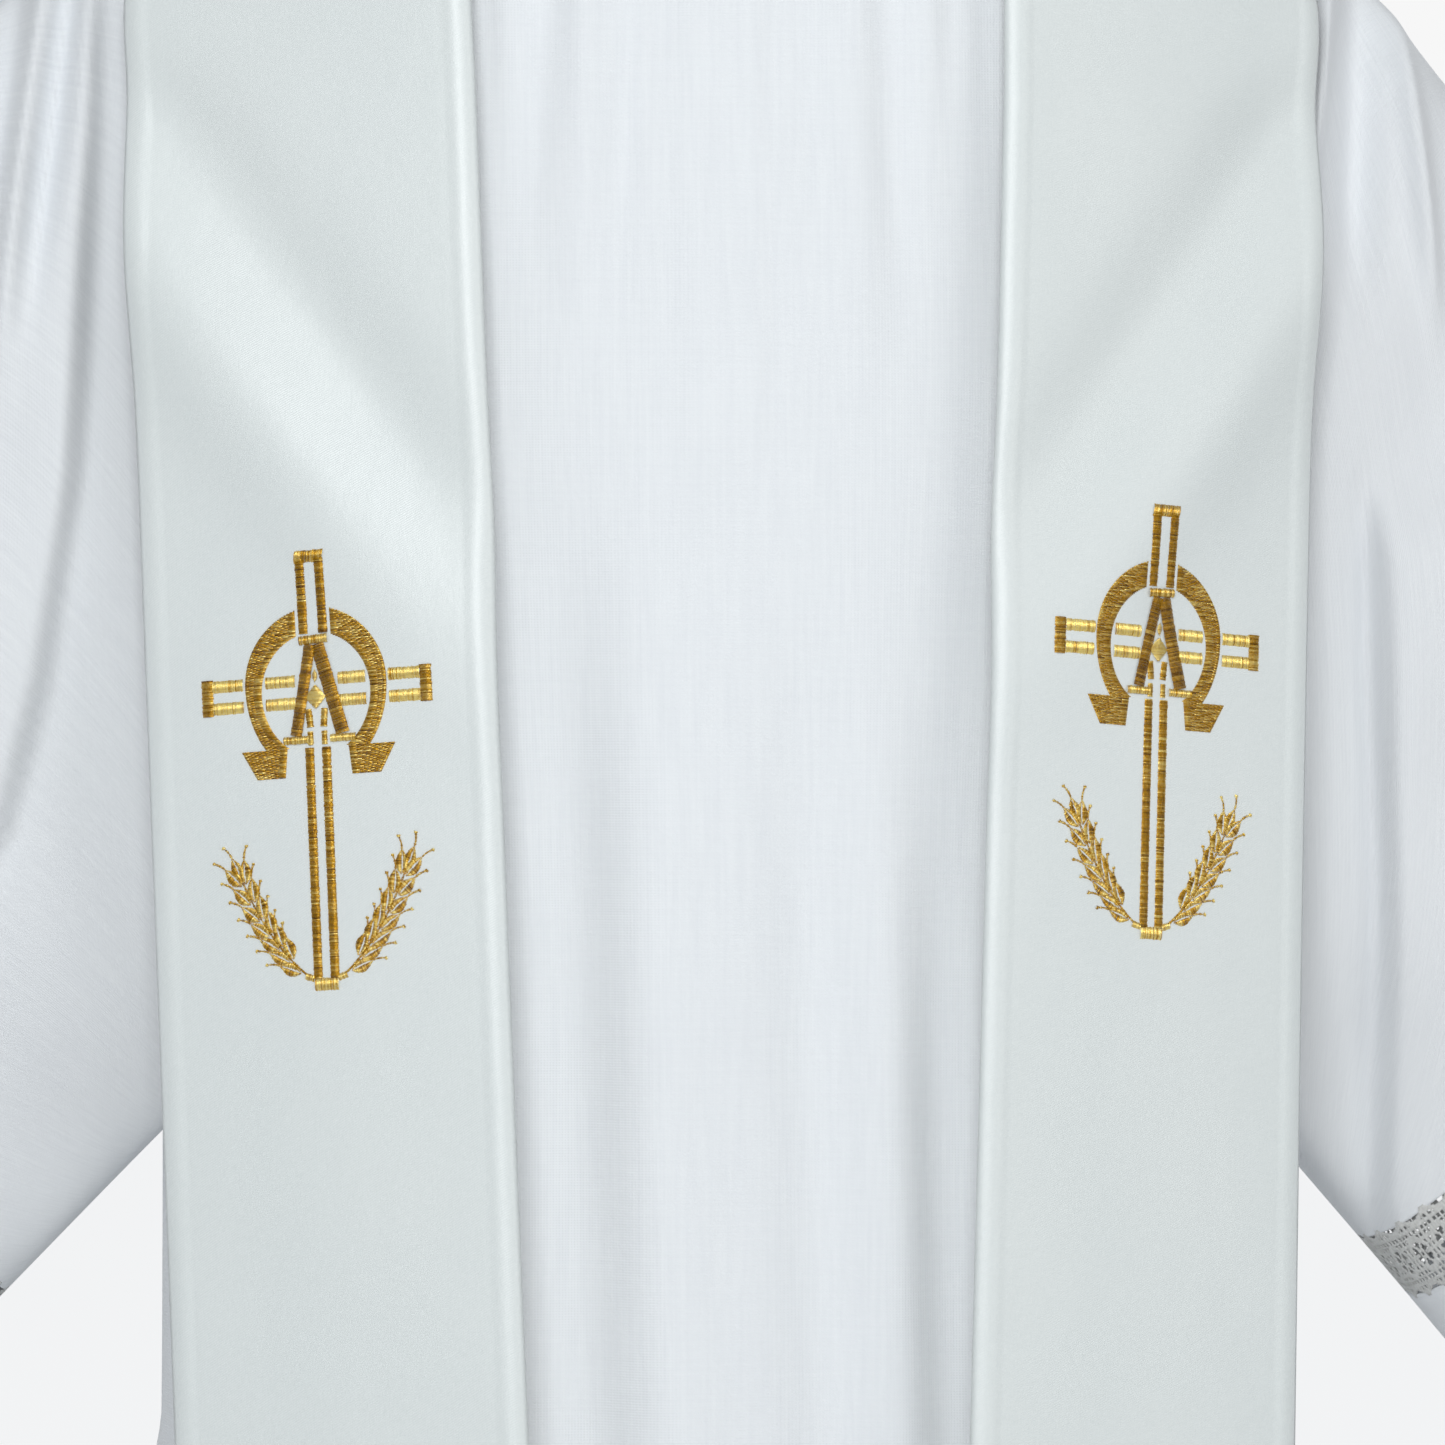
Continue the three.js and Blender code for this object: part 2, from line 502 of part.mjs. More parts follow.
// Falls: each hangs from the shoulder piece, with its embroidery on the flat face
const fallTopY = -chestY - DEPTH_FLARE * (FALL_TOP - ROUND_DROP);
for (const [hand, sign] of [["right", 1], ["left", -1]]) {
  const fall = new THREE.Group();
  fall.position.set(sign * STOLE_INNER_X, fallTopY, -FALL_TOP);
  fall.rotation.order = "ZXY";
  fall.rotation.set(-rad(STOLE_TILT), sign * rad(STOLE_LEAN), sign * rad(STOLE_YAW));
  garment.add(fall);
  const length = FALL_LENGTH - sign * FALL_SHIFT;
  const layers = [
    ["face", FACE, 0, 0, SATIN],
    ["interlining", INTERLINING, FACE + LAYER_GAP, INTERLINING_INSET, FELT],
    ["lining", LINING, FACE + INTERLINING + 2 * LAYER_GAP, 0, LINING_CLOTH],
  ];
  for (const [layer, thick, y, inset, finish] of layers) {
    const slab = new THREE.BoxGeometry(STOLE_WIDTH - 2 * inset, thick, length - 2 * inset, 2, 1, 3);
    const piece = add("stole_fall_" + layer + "_" + hand, slab, finish, fall);
    piece.position.set(sign * STOLE_WIDTH / 2, y + thick / 2, -length / 2);
  }
  const emblem = new THREE.Group();
  emblem.position.set(sign * STOLE_WIDTH / 2, 0, -EMBLEM_CENTRE + sign * FALL_SHIFT);
  fall.add(emblem);
  const motifs = [
    ["cross", crossGeometry(), 1],
    ["wheat_ear_inner", earGeometry(-sign), 1],
    ["wheat_ear_outer", earGeometry(sign), 1],
    ["omega_half_inner", omegaGeometry(-sign), 2],
    ["omega_half_outer", omegaGeometry(sign), 2],
    ["alpha", alphaGeometry(), 3],
  ];
  for (const [motif, geometry, layer] of motifs) {
    const piece = add("embroidered_" + motif + "_" + hand, geometry, GOLD, emblem);
    piece.position.y = -LAYER_GAP * layer - THREAD * (layer - 1);
  }
}

export default garment;
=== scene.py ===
"""A sleeved alb with a broad embroidered stole over it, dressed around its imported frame."""

import logging
import math
from dataclasses import dataclass, field
from enum import Enum
from typing import Callable

import bmesh
import bpy
import numpy as np
from mathutils import Matrix, Vector


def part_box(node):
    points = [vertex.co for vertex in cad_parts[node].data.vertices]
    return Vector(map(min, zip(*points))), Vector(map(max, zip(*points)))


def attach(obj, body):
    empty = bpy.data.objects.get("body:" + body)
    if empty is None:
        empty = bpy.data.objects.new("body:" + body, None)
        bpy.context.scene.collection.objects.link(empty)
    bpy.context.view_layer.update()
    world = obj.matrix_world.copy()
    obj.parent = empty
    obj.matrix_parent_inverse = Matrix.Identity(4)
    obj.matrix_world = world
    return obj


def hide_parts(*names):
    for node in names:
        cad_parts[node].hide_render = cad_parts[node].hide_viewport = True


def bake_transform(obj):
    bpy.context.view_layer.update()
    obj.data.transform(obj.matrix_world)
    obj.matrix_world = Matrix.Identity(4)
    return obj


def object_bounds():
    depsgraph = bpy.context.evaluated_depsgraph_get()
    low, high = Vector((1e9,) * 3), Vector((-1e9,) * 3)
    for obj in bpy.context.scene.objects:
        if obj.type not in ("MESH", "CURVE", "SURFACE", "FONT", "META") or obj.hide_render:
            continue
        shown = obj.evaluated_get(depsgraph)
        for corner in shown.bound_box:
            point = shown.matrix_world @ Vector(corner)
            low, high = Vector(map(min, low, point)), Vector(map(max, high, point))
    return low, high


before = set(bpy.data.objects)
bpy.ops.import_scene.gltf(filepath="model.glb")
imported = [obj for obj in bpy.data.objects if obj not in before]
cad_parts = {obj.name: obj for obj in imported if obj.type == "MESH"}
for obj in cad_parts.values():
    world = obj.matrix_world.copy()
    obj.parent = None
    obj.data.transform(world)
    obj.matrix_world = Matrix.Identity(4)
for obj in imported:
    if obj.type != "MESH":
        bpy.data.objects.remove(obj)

CAD_LOW, CAD_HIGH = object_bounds()
LOG = logging.getLogger("vestment")

Array = np.ndarray
Surface = Callable[[Array, Array], Array]


class Hand(Enum):
    """Which side of the garment a piece is on, as seen from the front."""

    RIGHT = 1
    LEFT = -1

    @property
    def word(self) -> str:
        """The side's word in piece names."""
        return self.name.lower()


class Held(Enum):
    """How a cut of cloth is held."""

    HUNG = "hung"
    DRAPED = "draped"


# ---------------------------------------------------------------- small tools


def signed_power(value: Array, exponent: float) -> Array:
    """Raises the size of each value to a power and keeps its sign.

    Args:
        value: the numbers.
        exponent: the power.

    Returns:
        The powered numbers.
    """
    return np.sign(value) * np.abs(value) ** exponent


def ease(value: Array, low: float, high: float) -> Array:
    """Rises smoothly from 0 at low to 1 at high, and falls when high is below low.

    Args:
        value: the numbers to grade.
        low: where the result is 0.
        high: where the result is 1.

    Returns:
        Grades from 0 to 1.
    """
    share = np.clip((value - low) / (high - low), 0, 1)
    return share * share * (3 - 2 * share)


def ridge_line(distance: Array, width: float) -> Array:
    """A soft ridge or valley: 1 on its line, fading to 0 over the width."""
    return np.exp(-((distance / width) ** 2))


def stack(x: Array, y: Array, z: Array) -> Array:
    """Puts three coordinate arrays side by side as points."""
    return np.stack(np.broadcast_arrays(x, y, z), axis=-1).astype(float)


def normals_of(at: Surface, u: Array, v: Array, step: float = 1e-3) -> Array:
    """Outward unit normals of a surface whose u runs round and v runs down.

    Args:
        at: the surface.
        u: places round it.
        v: places down it.
        step: how far apart the compared points are.

    Returns:
        One normal for each place.
    """
    round_it = at(u + step, v) - at(u - step, v)
    down_it = at(u, v + step) - at(u, v - step)
    normal = np.cross(down_it, round_it)
    return normal / np.maximum(np.linalg.norm(normal, axis=-1, keepdims=True), 1e-12)


# ---------------------------------------------------------------- finishes


class Shader:
    """A node material under construction."""

    def __init__(self, name: str) -> None:
        """Starts an empty material with a Principled shader.

        Args:
            name: the material's name.
        """
        self.material = bpy.data.materials.new(name)
        self.material.use_nodes = True
        self.tree = self.material.node_tree
        self.shader = self.tree.nodes["Principled BSDF"]

    def node(self, kind: str, **settings: object) -> bpy.types.Node:
        """Adds a node and sets its properties.

        Args:
            kind: the node type, without the ShaderNode prefix.
            settings: property names and values.

        Returns:
            The node.
        """
        made = self.tree.nodes.new("ShaderNode" + kind)
        for key, value in settings.items():
            setattr(made, key, value)
        return made

    def link(self, source: bpy.types.NodeSocket, target: bpy.types.NodeSocket) -> None:
        """Joins two sockets."""
        self.tree.links.new(source, target)

    def scaled(self, scale: tuple[float, float, float], turn: float = 0.0) -> bpy.types.NodeSocket:
        """The piece's cloth coordinates in metres, turned and then scaled.

        Args:
            scale: repeats for each metre along the three directions.
            turn: a turn in degrees in the plane of the cloth.

        Returns:
            The socket that gives the coordinates.
        """
        place = self.node("UVMap", uv_map="cloth")
        turned = self.node("Mapping")
        turned.inputs["Rotation"].default_value = (0, 0, math.radians(turn))
        sized = self.node("Mapping")
        sized.inputs["Scale"].default_value = scale
        self.link(place.outputs["UV"], turned.inputs["Vector"])
        self.link(turned.outputs["Vector"], sized.inputs["Vector"])
        return sized.outputs["Vector"]

    def noise(self, where: bpy.types.NodeSocket, detail: float = 3.0) -> bpy.types.NodeSocket:
        """Noise of scale 1 on the given coordinates.

        Args:
            where: the coordinates.
            detail: how many finer layers it has.

        Returns:
            The socket of the noise, about 0 to 1.
        """
        made = self.node("TexNoise")
        made.inputs["Scale"].default_value = 1.0
        made.inputs["Detail"].default_value = detail
        self.link(where, made.inputs["Vector"])
        return made.outputs["Fac"]

    def ramp(self, value: bpy.types.NodeSocket, stops: list[tuple[float, tuple]]) -> bpy.types.NodeSocket:
        """Turns a number into a colour through a ramp of stops.

        Args:
            value: the socket of the number.
            stops: places from 0 to 1, each with its colour.

        Returns:
            The socket of the colour.
        """
        made = self.node("ValToRGB")
        elements = made.color_ramp.elements
        while len(elements) < len(stops):
            elements.new(0.5)
        for element, (place, colour) in zip(elements, stops):
            element.position = place
            element.color = (*colour, 1)
        self.link(value, made.inputs["Fac"])
        return made.outputs["Color"]

    def maths(self, operation: str, a: object, b: object) -> bpy.types.NodeSocket:
        """A sum, product or other operation on two sockets or numbers.

        Args:
            operation: the node's operation.
            a: the first socket or number.
            b: the second one.

        Returns:
            The socket of the result.
        """
        made = self.node("Math", operation=operation)
        for value, target in ((a, made.inputs[0]), (b, made.inputs[1])):
            if isinstance(value, bpy.types.NodeSocket):
                self.link(value, target)
            else:
                target.default_value = value
        return made.outputs[0]

    def bump(self, height: bpy.types.NodeSocket, strength: float, distance: float,
             under: bpy.types.NodeSocket | None = None) -> bpy.types.NodeSocket:
        """Roughens the surface by a height.

        Args:
            height: the height's socket, about 0 to 1.
            strength: how much of it shows.
            distance: the height in metres that 1 stands for.
            under: a bump that this one lies on.

        Returns:
            The normal's socket.
        """
        made = self.node("Bump")
        made.inputs["Strength"].default_value = strength
        made.inputs["Distance"].default_value = distance
        self.link(height, made.inputs["Height"])
        if under is not None:
            self.link(under, made.inputs["Normal"])
        return made.outputs["Normal"]

    def threads(self, pitch: float, turn: float) -> bpy.types.NodeSocket:
        """One set of parallel threads as a height from 0 to 1.

        Args:
            pitch: distance between two threads in metres.
            turn: their direction in degrees.

        Returns:
            The socket of the height.
        """
        repeats = 1.0 / pitch
        wave = self.node("TexWave", wave_type="BANDS", bands_direction="X", wave_profile="SIN")
        wave.inputs["Scale"].default_value = 1.0 / 3.1831  # one band for each unit of length
        wave.inputs["Distortion"].default_value = 0.6
        wave.inputs["Detail"].default_value = 1.0
        self.link(self.scaled((repeats, repeats, 1.0), turn), wave.inputs["Vector"])
        return wave.outputs["Fac"]


@dataclass(frozen=True)
class WovenFinish:
    """Plain woven cloth with slubs: uneven threads that show as faint streaks."""

    name: str
    light: tuple[float, float, float]
    shade: tuple[float, float, float]
    turn: float = 0.0
    pitch: float = 0.0011
    slub_width: float = 0.0016
    slub_length: float = 0.045
    roughness: float = 0.85
    sheen: float = 0.25
    weave: float = 0.35
    slub: float = 0.3
    streak_share: float = 0.62
    cross_share: float = 0.22
    cloud_share: float = 0.16

    def make(self) -> bpy.types.Material:
        """Builds the material.

        Returns:
            The material.
        """
        kit = Shader(self.name)
        streak = kit.noise(kit.scaled((1 / self.slub_width, 1 / self.slub_length, 1), self.turn), 4.0)
        cross = kit.noise(kit.scaled((1 / self.slub_length, 1 / self.slub_width, 1), self.turn), 3.0)
        cloud = kit.noise(kit.scaled((9, 5, 1), self.turn), 2.0)
        down = kit.maths("MULTIPLY", streak, self.streak_share)
        both = kit.maths("ADD", down, kit.maths("MULTIPLY", cross, self.cross_share))
        whole = kit.maths("ADD", both, kit.maths("MULTIPLY", cloud, self.cloud_share))
        colour = kit.ramp(whole, [(0.38, self.shade), (0.62, self.light)])
        kit.link(colour, kit.shader.inputs["Base Color"])
        weave = kit.maths("ADD", kit.threads(self.pitch, self.turn), kit.threads(self.pitch, self.turn + 90))
        fine = kit.bump(weave, self.weave, 0.00015)
        rough = kit.bump(both, self.slub, 0.0004, fine)
        kit.link(rough, kit.shader.inputs["Normal"])
        kit.shader.inputs["Roughness"].default_value = self.roughness
        kit.shader.inputs["Sheen Weight"].default_value = self.sheen
        kit.shader.inputs["Sheen Roughness"].default_value = 0.45
        kit.shader.inputs["Specular IOR Level"].default_value = 0.25
        return kit.material


@dataclass(frozen=True)
class SatinFinish:
    """Heavy matt satin: a smooth face with a soft sheen and a very fine diagonal rib."""

    name: str
    light: tuple[float, float, float]
    shade: tuple[float, float, float]
    pitch: float = 0.0009
    roughness: float = 0.38
    sheen: float = 0.2
    rib: float = 0.25

    def make(self) -> bpy.types.Material:
        """Builds the material.

        Returns:
            The material.
        """
        kit = Shader(self.name)
        cloud = kit.noise(kit.scaled((14, 6, 1)), 3.0)
        grain = kit.noise(kit.scaled((900, 260, 1)), 2.0)
        whole = kit.maths("ADD", kit.maths("MULTIPLY", cloud, 0.55), kit.maths("MULTIPLY", grain, 0.45))
        colour = kit.ramp(whole, [(0.35, self.shade), (0.65, self.light)])
        kit.link(colour, kit.shader.inputs["Base Color"])
        rib = kit.bump(kit.threads(self.pitch, 62), self.rib, 0.00012)
        soft = kit.bump(grain, 0.25, 0.0002, rib)
        pucker = kit.bump(kit.noise(kit.scaled((70, 45, 1)), 2.0), 0.22, 0.0012, soft)
        kit.link(pucker, kit.shader.inputs["Normal"])
        kit.shader.inputs["Roughness"].default_value = self.roughness
        kit.shader.inputs["Sheen Weight"].default_value = self.sheen
        kit.shader.inputs["Sheen Roughness"].default_value = 0.35
        kit.shader.inputs["Specular IOR Level"].default_value = 0.75
        return kit.material


@dataclass(frozen=True)
class ThreadFinish:
    """Metallised embroidery thread: each strand has its own tone from deep to bright, and the tones given bar
    by bar also carry painted shade and painted highlight.
    """

    name: str
    deep: tuple[float, float, float] = (0.18, 0.075, 0.004)
    middle: tuple[float, float, float] = (0.58, 0.30, 0.012)
    bright: tuple[float, float, float] = (1.0, 0.78, 0.25)
    roughness: float = 0.34

    def make(self) -> bpy.types.Material:
        """Builds the material, which reads the strand attribute of the stitches.

        Returns:
            The material.
        """
        kit = Shader(self.name)
        strand = kit.node("Attribute", attribute_name="strand")
        place = kit.node("TexCoord")
        speck = kit.node("TexNoise")
        speck.inputs["Scale"].default_value = 900
        speck.inputs["Detail"].default_value = 2.0
        kit.link(place.outputs["Object"], speck.inputs["Vector"])
        mixed = kit.maths("ADD", kit.maths("MULTIPLY", strand.outputs["Fac"], 0.7),
                          kit.maths("MULTIPLY", speck.outputs["Fac"], 0.45))
        stops = [(0.22, self.deep), (0.55, self.middle), (0.88, self.bright)]
        kit.link(kit.ramp(mixed, stops), kit.shader.inputs["Base Color"])
        kit.link(kit.bump(speck.outputs["Fac"], 0.4, 0.0002), kit.shader.inputs["Normal"])
        kit.shader.inputs["Metallic"].default_value = 0.85
        kit.shader.inputs["Roughness"].default_value = self.roughness
        return kit.material


@dataclass(frozen=True)
class PearlFinish:
    """Pearly button: cloudy, glossy and clear-coated."""

    name: str
    cloudy: tuple[float, float, float] = (0.82, 0.80, 0.78)
    clear: tuple[float, float, float] = (0.95, 0.94, 0.92)

    def make(self) -> bpy.types.Material:
        """Builds the material.

        Returns:
            The material.
        """
        kit = Shader(self.name)
        place = kit.node("TexCoord")
        cloud = kit.node("TexNoise")
        cloud.inputs["Scale"].default_value = 160
        kit.link(place.outputs["Object"], cloud.inputs["Vector"])
        stops = [(0.3, self.cloudy), (0.7, self.clear)]
        kit.link(kit.ramp(cloud.outputs["Fac"], stops), kit.shader.inputs["Base Color"])
        kit.shader.inputs["Roughness"].default_value = 0.18
        kit.shader.inputs["Coat Weight"].default_value = 0.4
        return kit.material


class Finish(Enum):
    """Every finish of the garment."""

    STRAIGHT_COTTON = WovenFinish("alb_cotton_straight", (0.90, 0.925, 0.95), (0.865, 0.89, 0.92))
    BIAS_COTTON = WovenFinish("alb_cotton_bias", (0.865, 0.885, 0.905), (0.82, 0.84, 0.865), turn=32,
                              slub_width=0.0014, slub=0.42)
    LACE = WovenFinish("lace_cotton", (0.80, 0.80, 0.78), (0.60, 0.60, 0.58), pitch=0.0007,
                       slub_width=0.0009, slub_length=0.004, weave=0.8, slub=0.9)
    SATIN = SatinFinish("stole_satin", (0.81, 0.85, 0.842), (0.77, 0.815, 0.81))
    LINING = SatinFinish("stole_lining", (0.80, 0.79, 0.74), (0.75, 0.74, 0.69), pitch=0.0007)
    FELT = WovenFinish("stole_interlining", (0.78, 0.78, 0.75), (0.70, 0.70, 0.67), pitch=0.0016,
                       slub_length=0.006, weave=0.2, slub=0.8)
    GOLD = ThreadFinish("gold_thread")
    PEARL = PearlFinish("button_pearl")


MATERIALS: dict[Finish, bpy.types.Material] = {}


def material_of(finish: Finish) -> bpy.types.Material:
    """The material of a finish, built the first time it is asked for.

    Args:
        finish: the finish.

    Returns:
        The material.
    """
    if finish not in MATERIALS:
        MATERIALS[finish] = finish.value.make()
    return MATERIALS[finish]


# ---------------------------------------------------------------- making pieces


def piece_from(bm: bmesh.types.BMesh, name: str, finish: Finish) -> bpy.types.Object:
    """Turns a finished bmesh into a smooth-shaded object with its material.

    Args:
        bm: the bmesh, which is freed.
        name: the piece's name.
        finish: its finish.

    Returns:
        The new object.
    """
    mesh = bpy.data.meshes.new(name)
    bm.to_mesh(mesh)
    bm.free()
    mesh.shade_smooth()
    mesh.materials.append(material_of(finish))
    made = bpy.data.objects.new(name, mesh)
    bpy.context.scene.collection.objects.link(made)
    return made


def reshape(made: bpy.types.Object, move: Callable[[Array], Array]) -> None:
    """Moves every vertex of a piece by a function of all its points.

    Args:
        made: the piece.
        move: gives the new points for the old ones.
    """
    points = np.empty(len(made.data.vertices) * 3, np.float32)
    made.data.vertices.foreach_get("co", points)
    moved = move(points.reshape(-1, 3).astype(float))
    made.data.vertices.foreach_set("co", moved.astype(np.float32).ravel())
    made.data.update()


@dataclass
class ClothCut:
    """One cut of cloth: a surface, how finely it is meshed, and its flat size in metres."""

    name: str
    at: Surface
    across: int
    down: int
    flat: tuple[float, float]
    finish: Finish
    slot: str
    thickness: float = 0.0008
    holes: Callable[[float, float], bool] | None = None

    def build(self) -> bpy.types.Object:
        """Meshes the cut, gives it cloth coordinates and a thickness.

        Returns:
            The piece, its outer face on the surface.
        """
        bm = bmesh.new()
        sheet_map = bm.loops.layers.uv.new("cloth")
        bmesh.ops.create_grid(bm, x_segments=self.across, y_segments=self.down, size=0.5, calc_uvs=True)
        for face in bm.faces:
            for loop in face.loops:
                place = loop.vert.co
                loop[sheet_map].uv = ((place.x + 0.5) * self.flat[0], (place.y + 0.5) * self.flat[1])
        if self.holes is not None:
            centres = [(f, f.calc_center_median()) for f in bm.faces]
            gone = [f for f, c in centres if self.holes(c.x + 0.5, 0.5 - c.y)]
            bmesh.ops.delete(bm, geom=gone, context="FACES")
        made = piece_from(bm, self.name, self.finish)
        reshape(made, lambda p: self.at(p[:, 0] + 0.5, 0.5 - p[:, 1]))
        solid = made.modifiers.new("thickness", "SOLIDIFY")
        solid.thickness = self.thickness
        solid.offset = -1
        return made


def report(made: bpy.types.Object, note: str) -> None:
    """Logs a finished piece."""
    LOG.info("%s: %s, %d faces", made.name, note, len(made.data.polygons))


# ---------------------------------------------------------------- the alb's body


@dataclass
class Fold:
    """A soft fold down the cloth: positive stands out, negative sinks in."""

    x_top: float
    x_low: float
    top: float
    low: float
    width: float
    height: float
    fade: float = 0.12

    def relief(self, x: Array, drop: Array) -> Array:
        """How far the fold moves the cloth outwards at each place.

        Args:
            x: distances from the middle.
            drop: drops below the ridge.

        Returns:
            The heights of the relief.
        """
        share = (drop - self.top) / (self.low - self.top)
        line = self.x_top + (self.x_low - self.x_top) * share
        live = ease(drop, self.top - self.fade, self.top) * ease(drop, self.low + self.fade, self.low)
        return self.height * live * ridge_line(x - line, self.width)


@dataclass
class BodyForm:
    """The worn shape of the alb's body, in metres, with its main sizes read from the frame."""

    half_chest: float = 0.25
    section_power: float = 2.4
    depth_flare: float = 0.055
    width_flare: float = 0.17
    flare_drop: float = 0.75
    waist: float = 0.013
    round_drop: float = 0.1
    ridge_slope: float = 0.045
    armhole_x: float = 0.225
    neck_x: float = 0.08
    neck_front: float = 0.07
    neck_back: float = 0.033
    placket: tuple[float, float, float] = (-0.023, 0.0105, 0.345)  # left, right and lower edge
    placket_height: float = 0.0013
    flute_height: float = 0.0115
    gather_height: float = 0.0014
    ripple_height: float = 0.0022
    folds: tuple[Fold, ...] = (
        Fold(-0.078, -0.082, 0.10, 0.17, 0.007, -0.0030),
        Fold(-0.044, -0.047, 0.10, 0.19, 0.006, -0.0032),
        Fold(-0.061, -0.064, 0.10, 0.20, 0.009, 0.0022),
        Fold(0.029, 0.030, 0.10, 0.17, 0.006, -0.0026),
        Fold(0.063, 0.066, 0.10, 0.20, 0.008, -0.0028),
        Fold(0.046, 0.049, 0.10, 0.22, 0.010, 0.0020),
        Fold(-0.070, -0.050, 0.52, 1.30, 0.020, -0.0085, 0.22),
        Fold(-0.035, -0.005, 0.60, 1.30, 0.022, 0.0050, 0.25),
        Fold(0.030, 0.056, 0.56, 1.30, 0.019, -0.0080, 0.22),
        Fold(0.062, 0.080, 0.60, 1.30, 0.016, 0.0045, 0.22),
        Fold(0.085, 0.104, 0.64, 1.30, 0.014, -0.0050, 0.22),
    )
    half_depth_chest: float = field(init=False)
    length: float = field(init=False)

    def __post_init__(self) -> None:
        """Reads the chest's depth and the alb's length from the frame."""
        self.half_depth_chest = -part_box("yoke_front_right")[0].y
        self.length = -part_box("front_hem_right")[0].z

    def half_depth(self, drop: Array) -> Array:
        """Half the body's depth at a drop below the ridge."""
        return self.half_depth_chest + self.depth_flare * np.maximum(drop - self.round_drop, 0)

    def half_width(self, drop: Array) -> Array:
        """Half the body's width at a drop below the ridge."""
        drawn_in = self.waist * ease(drop, 0.30, 0.58) * ease(drop, 1.15, 0.80)
        return self.half_chest - drawn_in + self.width_flare * np.maximum(drop - self.flare_drop, 0)

    def ridge(self, x: Array) -> Array:
        """Height of the shoulder ridge at a distance from the middle."""
        out = np.maximum(np.abs(x) - self.neck_x, 0) / (self.armhole_x - self.neck_x)
        return -self.ridge_slope * out ** 1.3

    def armhole_edge(self, drop: Array) -> Array:
        """How far out the body's armhole edge lies at each drop."""
        return self.armhole_x / self.half_chest * self.half_width(drop)

    def armhole_depth(self, z: Array) -> Array:
        """How far the body's armhole edge lies from its middle plane at each height.

        Args:
            z: the heights.

        Returns:
            The distances from the middle plane.
        """
        face = math.cos(self.angle_of(self.armhole_x)) ** (2 / self.section_power)
        level = np.clip((z + self.round_drop) / (self.round_drop - self.ridge_slope), 0, 1)
        return face * self.half_depth(-z) * np.sqrt(1 - level ** 2)

    def turn(self, drop: Array) -> Array:
        """How far round the shoulder's curve a drop lies, as an angle."""
        return np.clip(drop / self.round_drop, -1, 1) * math.pi / 2

    def fall(self, drop: Array) -> Array:
        """Real height lost at a drop measured round the shoulder's curve."""
        curved = self.round_drop * (1 - np.cos(self.turn(drop)))
        return np.where(np.abs(drop) < self.round_drop, curved, np.abs(drop))

    def angle_of(self, x: float) -> float:
        """The section angle of a distance from the middle at the chest."""
        return math.asin((abs(x) / self.half_chest) ** (self.section_power / 2)) * (1 if x >= 0 else -1)

    def skin(self, angle: Array, drop: Array) -> Array:
        """Points of the smooth body: angle 0 is the middle of the front, drop runs down.

        Args:
            angle: section angles in radians.
            drop: drops below the ridge.

        Returns:
            The points.
        """
        side = signed_power(np.sin(angle), 2 / self.section_power)
        face = signed_power(np.cos(angle), 2 / self.section_power)
        turn = self.turn(drop)
        x = side * self.half_width(drop)
        z = self.ridge(x) * np.cos(turn) - self.fall(drop)
        return stack(x, -face * self.half_depth(drop) * np.sin(turn), z)

    def flutes(self, angle: Array, drop: Array) -> Array:
        """Deep soft flutes that open towards the hem, uneven round the body.

        Args:
            angle: section angles.
            drop: drops below the ridge.

        Returns:
            The heights of the relief.
        """
        grow = ease(drop, 0.62, 1.42) ** 1.3
        wander = 0.35 * np.sin(3.1 * drop + 2 * angle)
        wave = np.sin(11 * angle + wander + 0.7) + 0.45 * np.sin(19 * angle - 1.4 * drop + 2.1)
        quiet_front = 1 - 0.45 * ridge_line(angle, 0.5)
        return self.flute_height * grow * wave * quiet_front

    def gathers(self, angle: Array, drop: Array) -> Array:
        """Fine gathers under the yoke seam, gone a hand's width below it.

        Args:
            angle: section angles.
            drop: drops below the ridge.

        Returns:
            The heights of the relief.
        """
        fade = ease(drop, 0.24, 0.10) * np.clip(np.abs(np.sin(2 * angle)) + 0.35, 0, 1)
        wave = np.sin(61 * angle + 5 * np.sin(7 * angle)) + 0.5 * np.sin(97 * angle + 1.3)
        return self.gather_height * fade * wave

    def relief(self, angle: Array, drop: Array, x: Array) -> Array:
        """How far all the folds move the cloth outwards.

        Args:
            angle: section angles.
            drop: drops below the ridge.
            x: distances from the middle.

        Returns:
            The heights of the relief.
        """
        front = np.cos(angle) > 0
        total = self.flutes(angle, drop) + self.gathers(angle, drop)
        total = total + self.ripple_height * np.sin(9 * angle + 4 * drop) * ease(drop, 0.15, 0.5)
        for fold in self.folds:
            total = total + np.where(front, fold.relief(x, drop), 0)
        left, right, low = self.placket
        strip = ease(x, left - 0.002, left + 0.001) * ease(x, right + 0.002, right - 0.001)
        soft = ease(drop, low + 0.01, low - 0.02)
        return total + np.where(front, self.placket_height * strip * soft, 0)

    def cloth(self, angle: Array, drop: Array) -> Array:
        """Points of the draped body, folds included.

        Args:
            angle: section angles.
            drop: drops below the ridge.

        Returns:
            The points.
        """
        smooth = self.skin(angle, drop)
        reach = stack(np.sin(angle), -np.cos(angle), np.zeros_like(angle))
        return smooth + reach * self.relief(angle, drop, smooth[:, 0])[:, None]

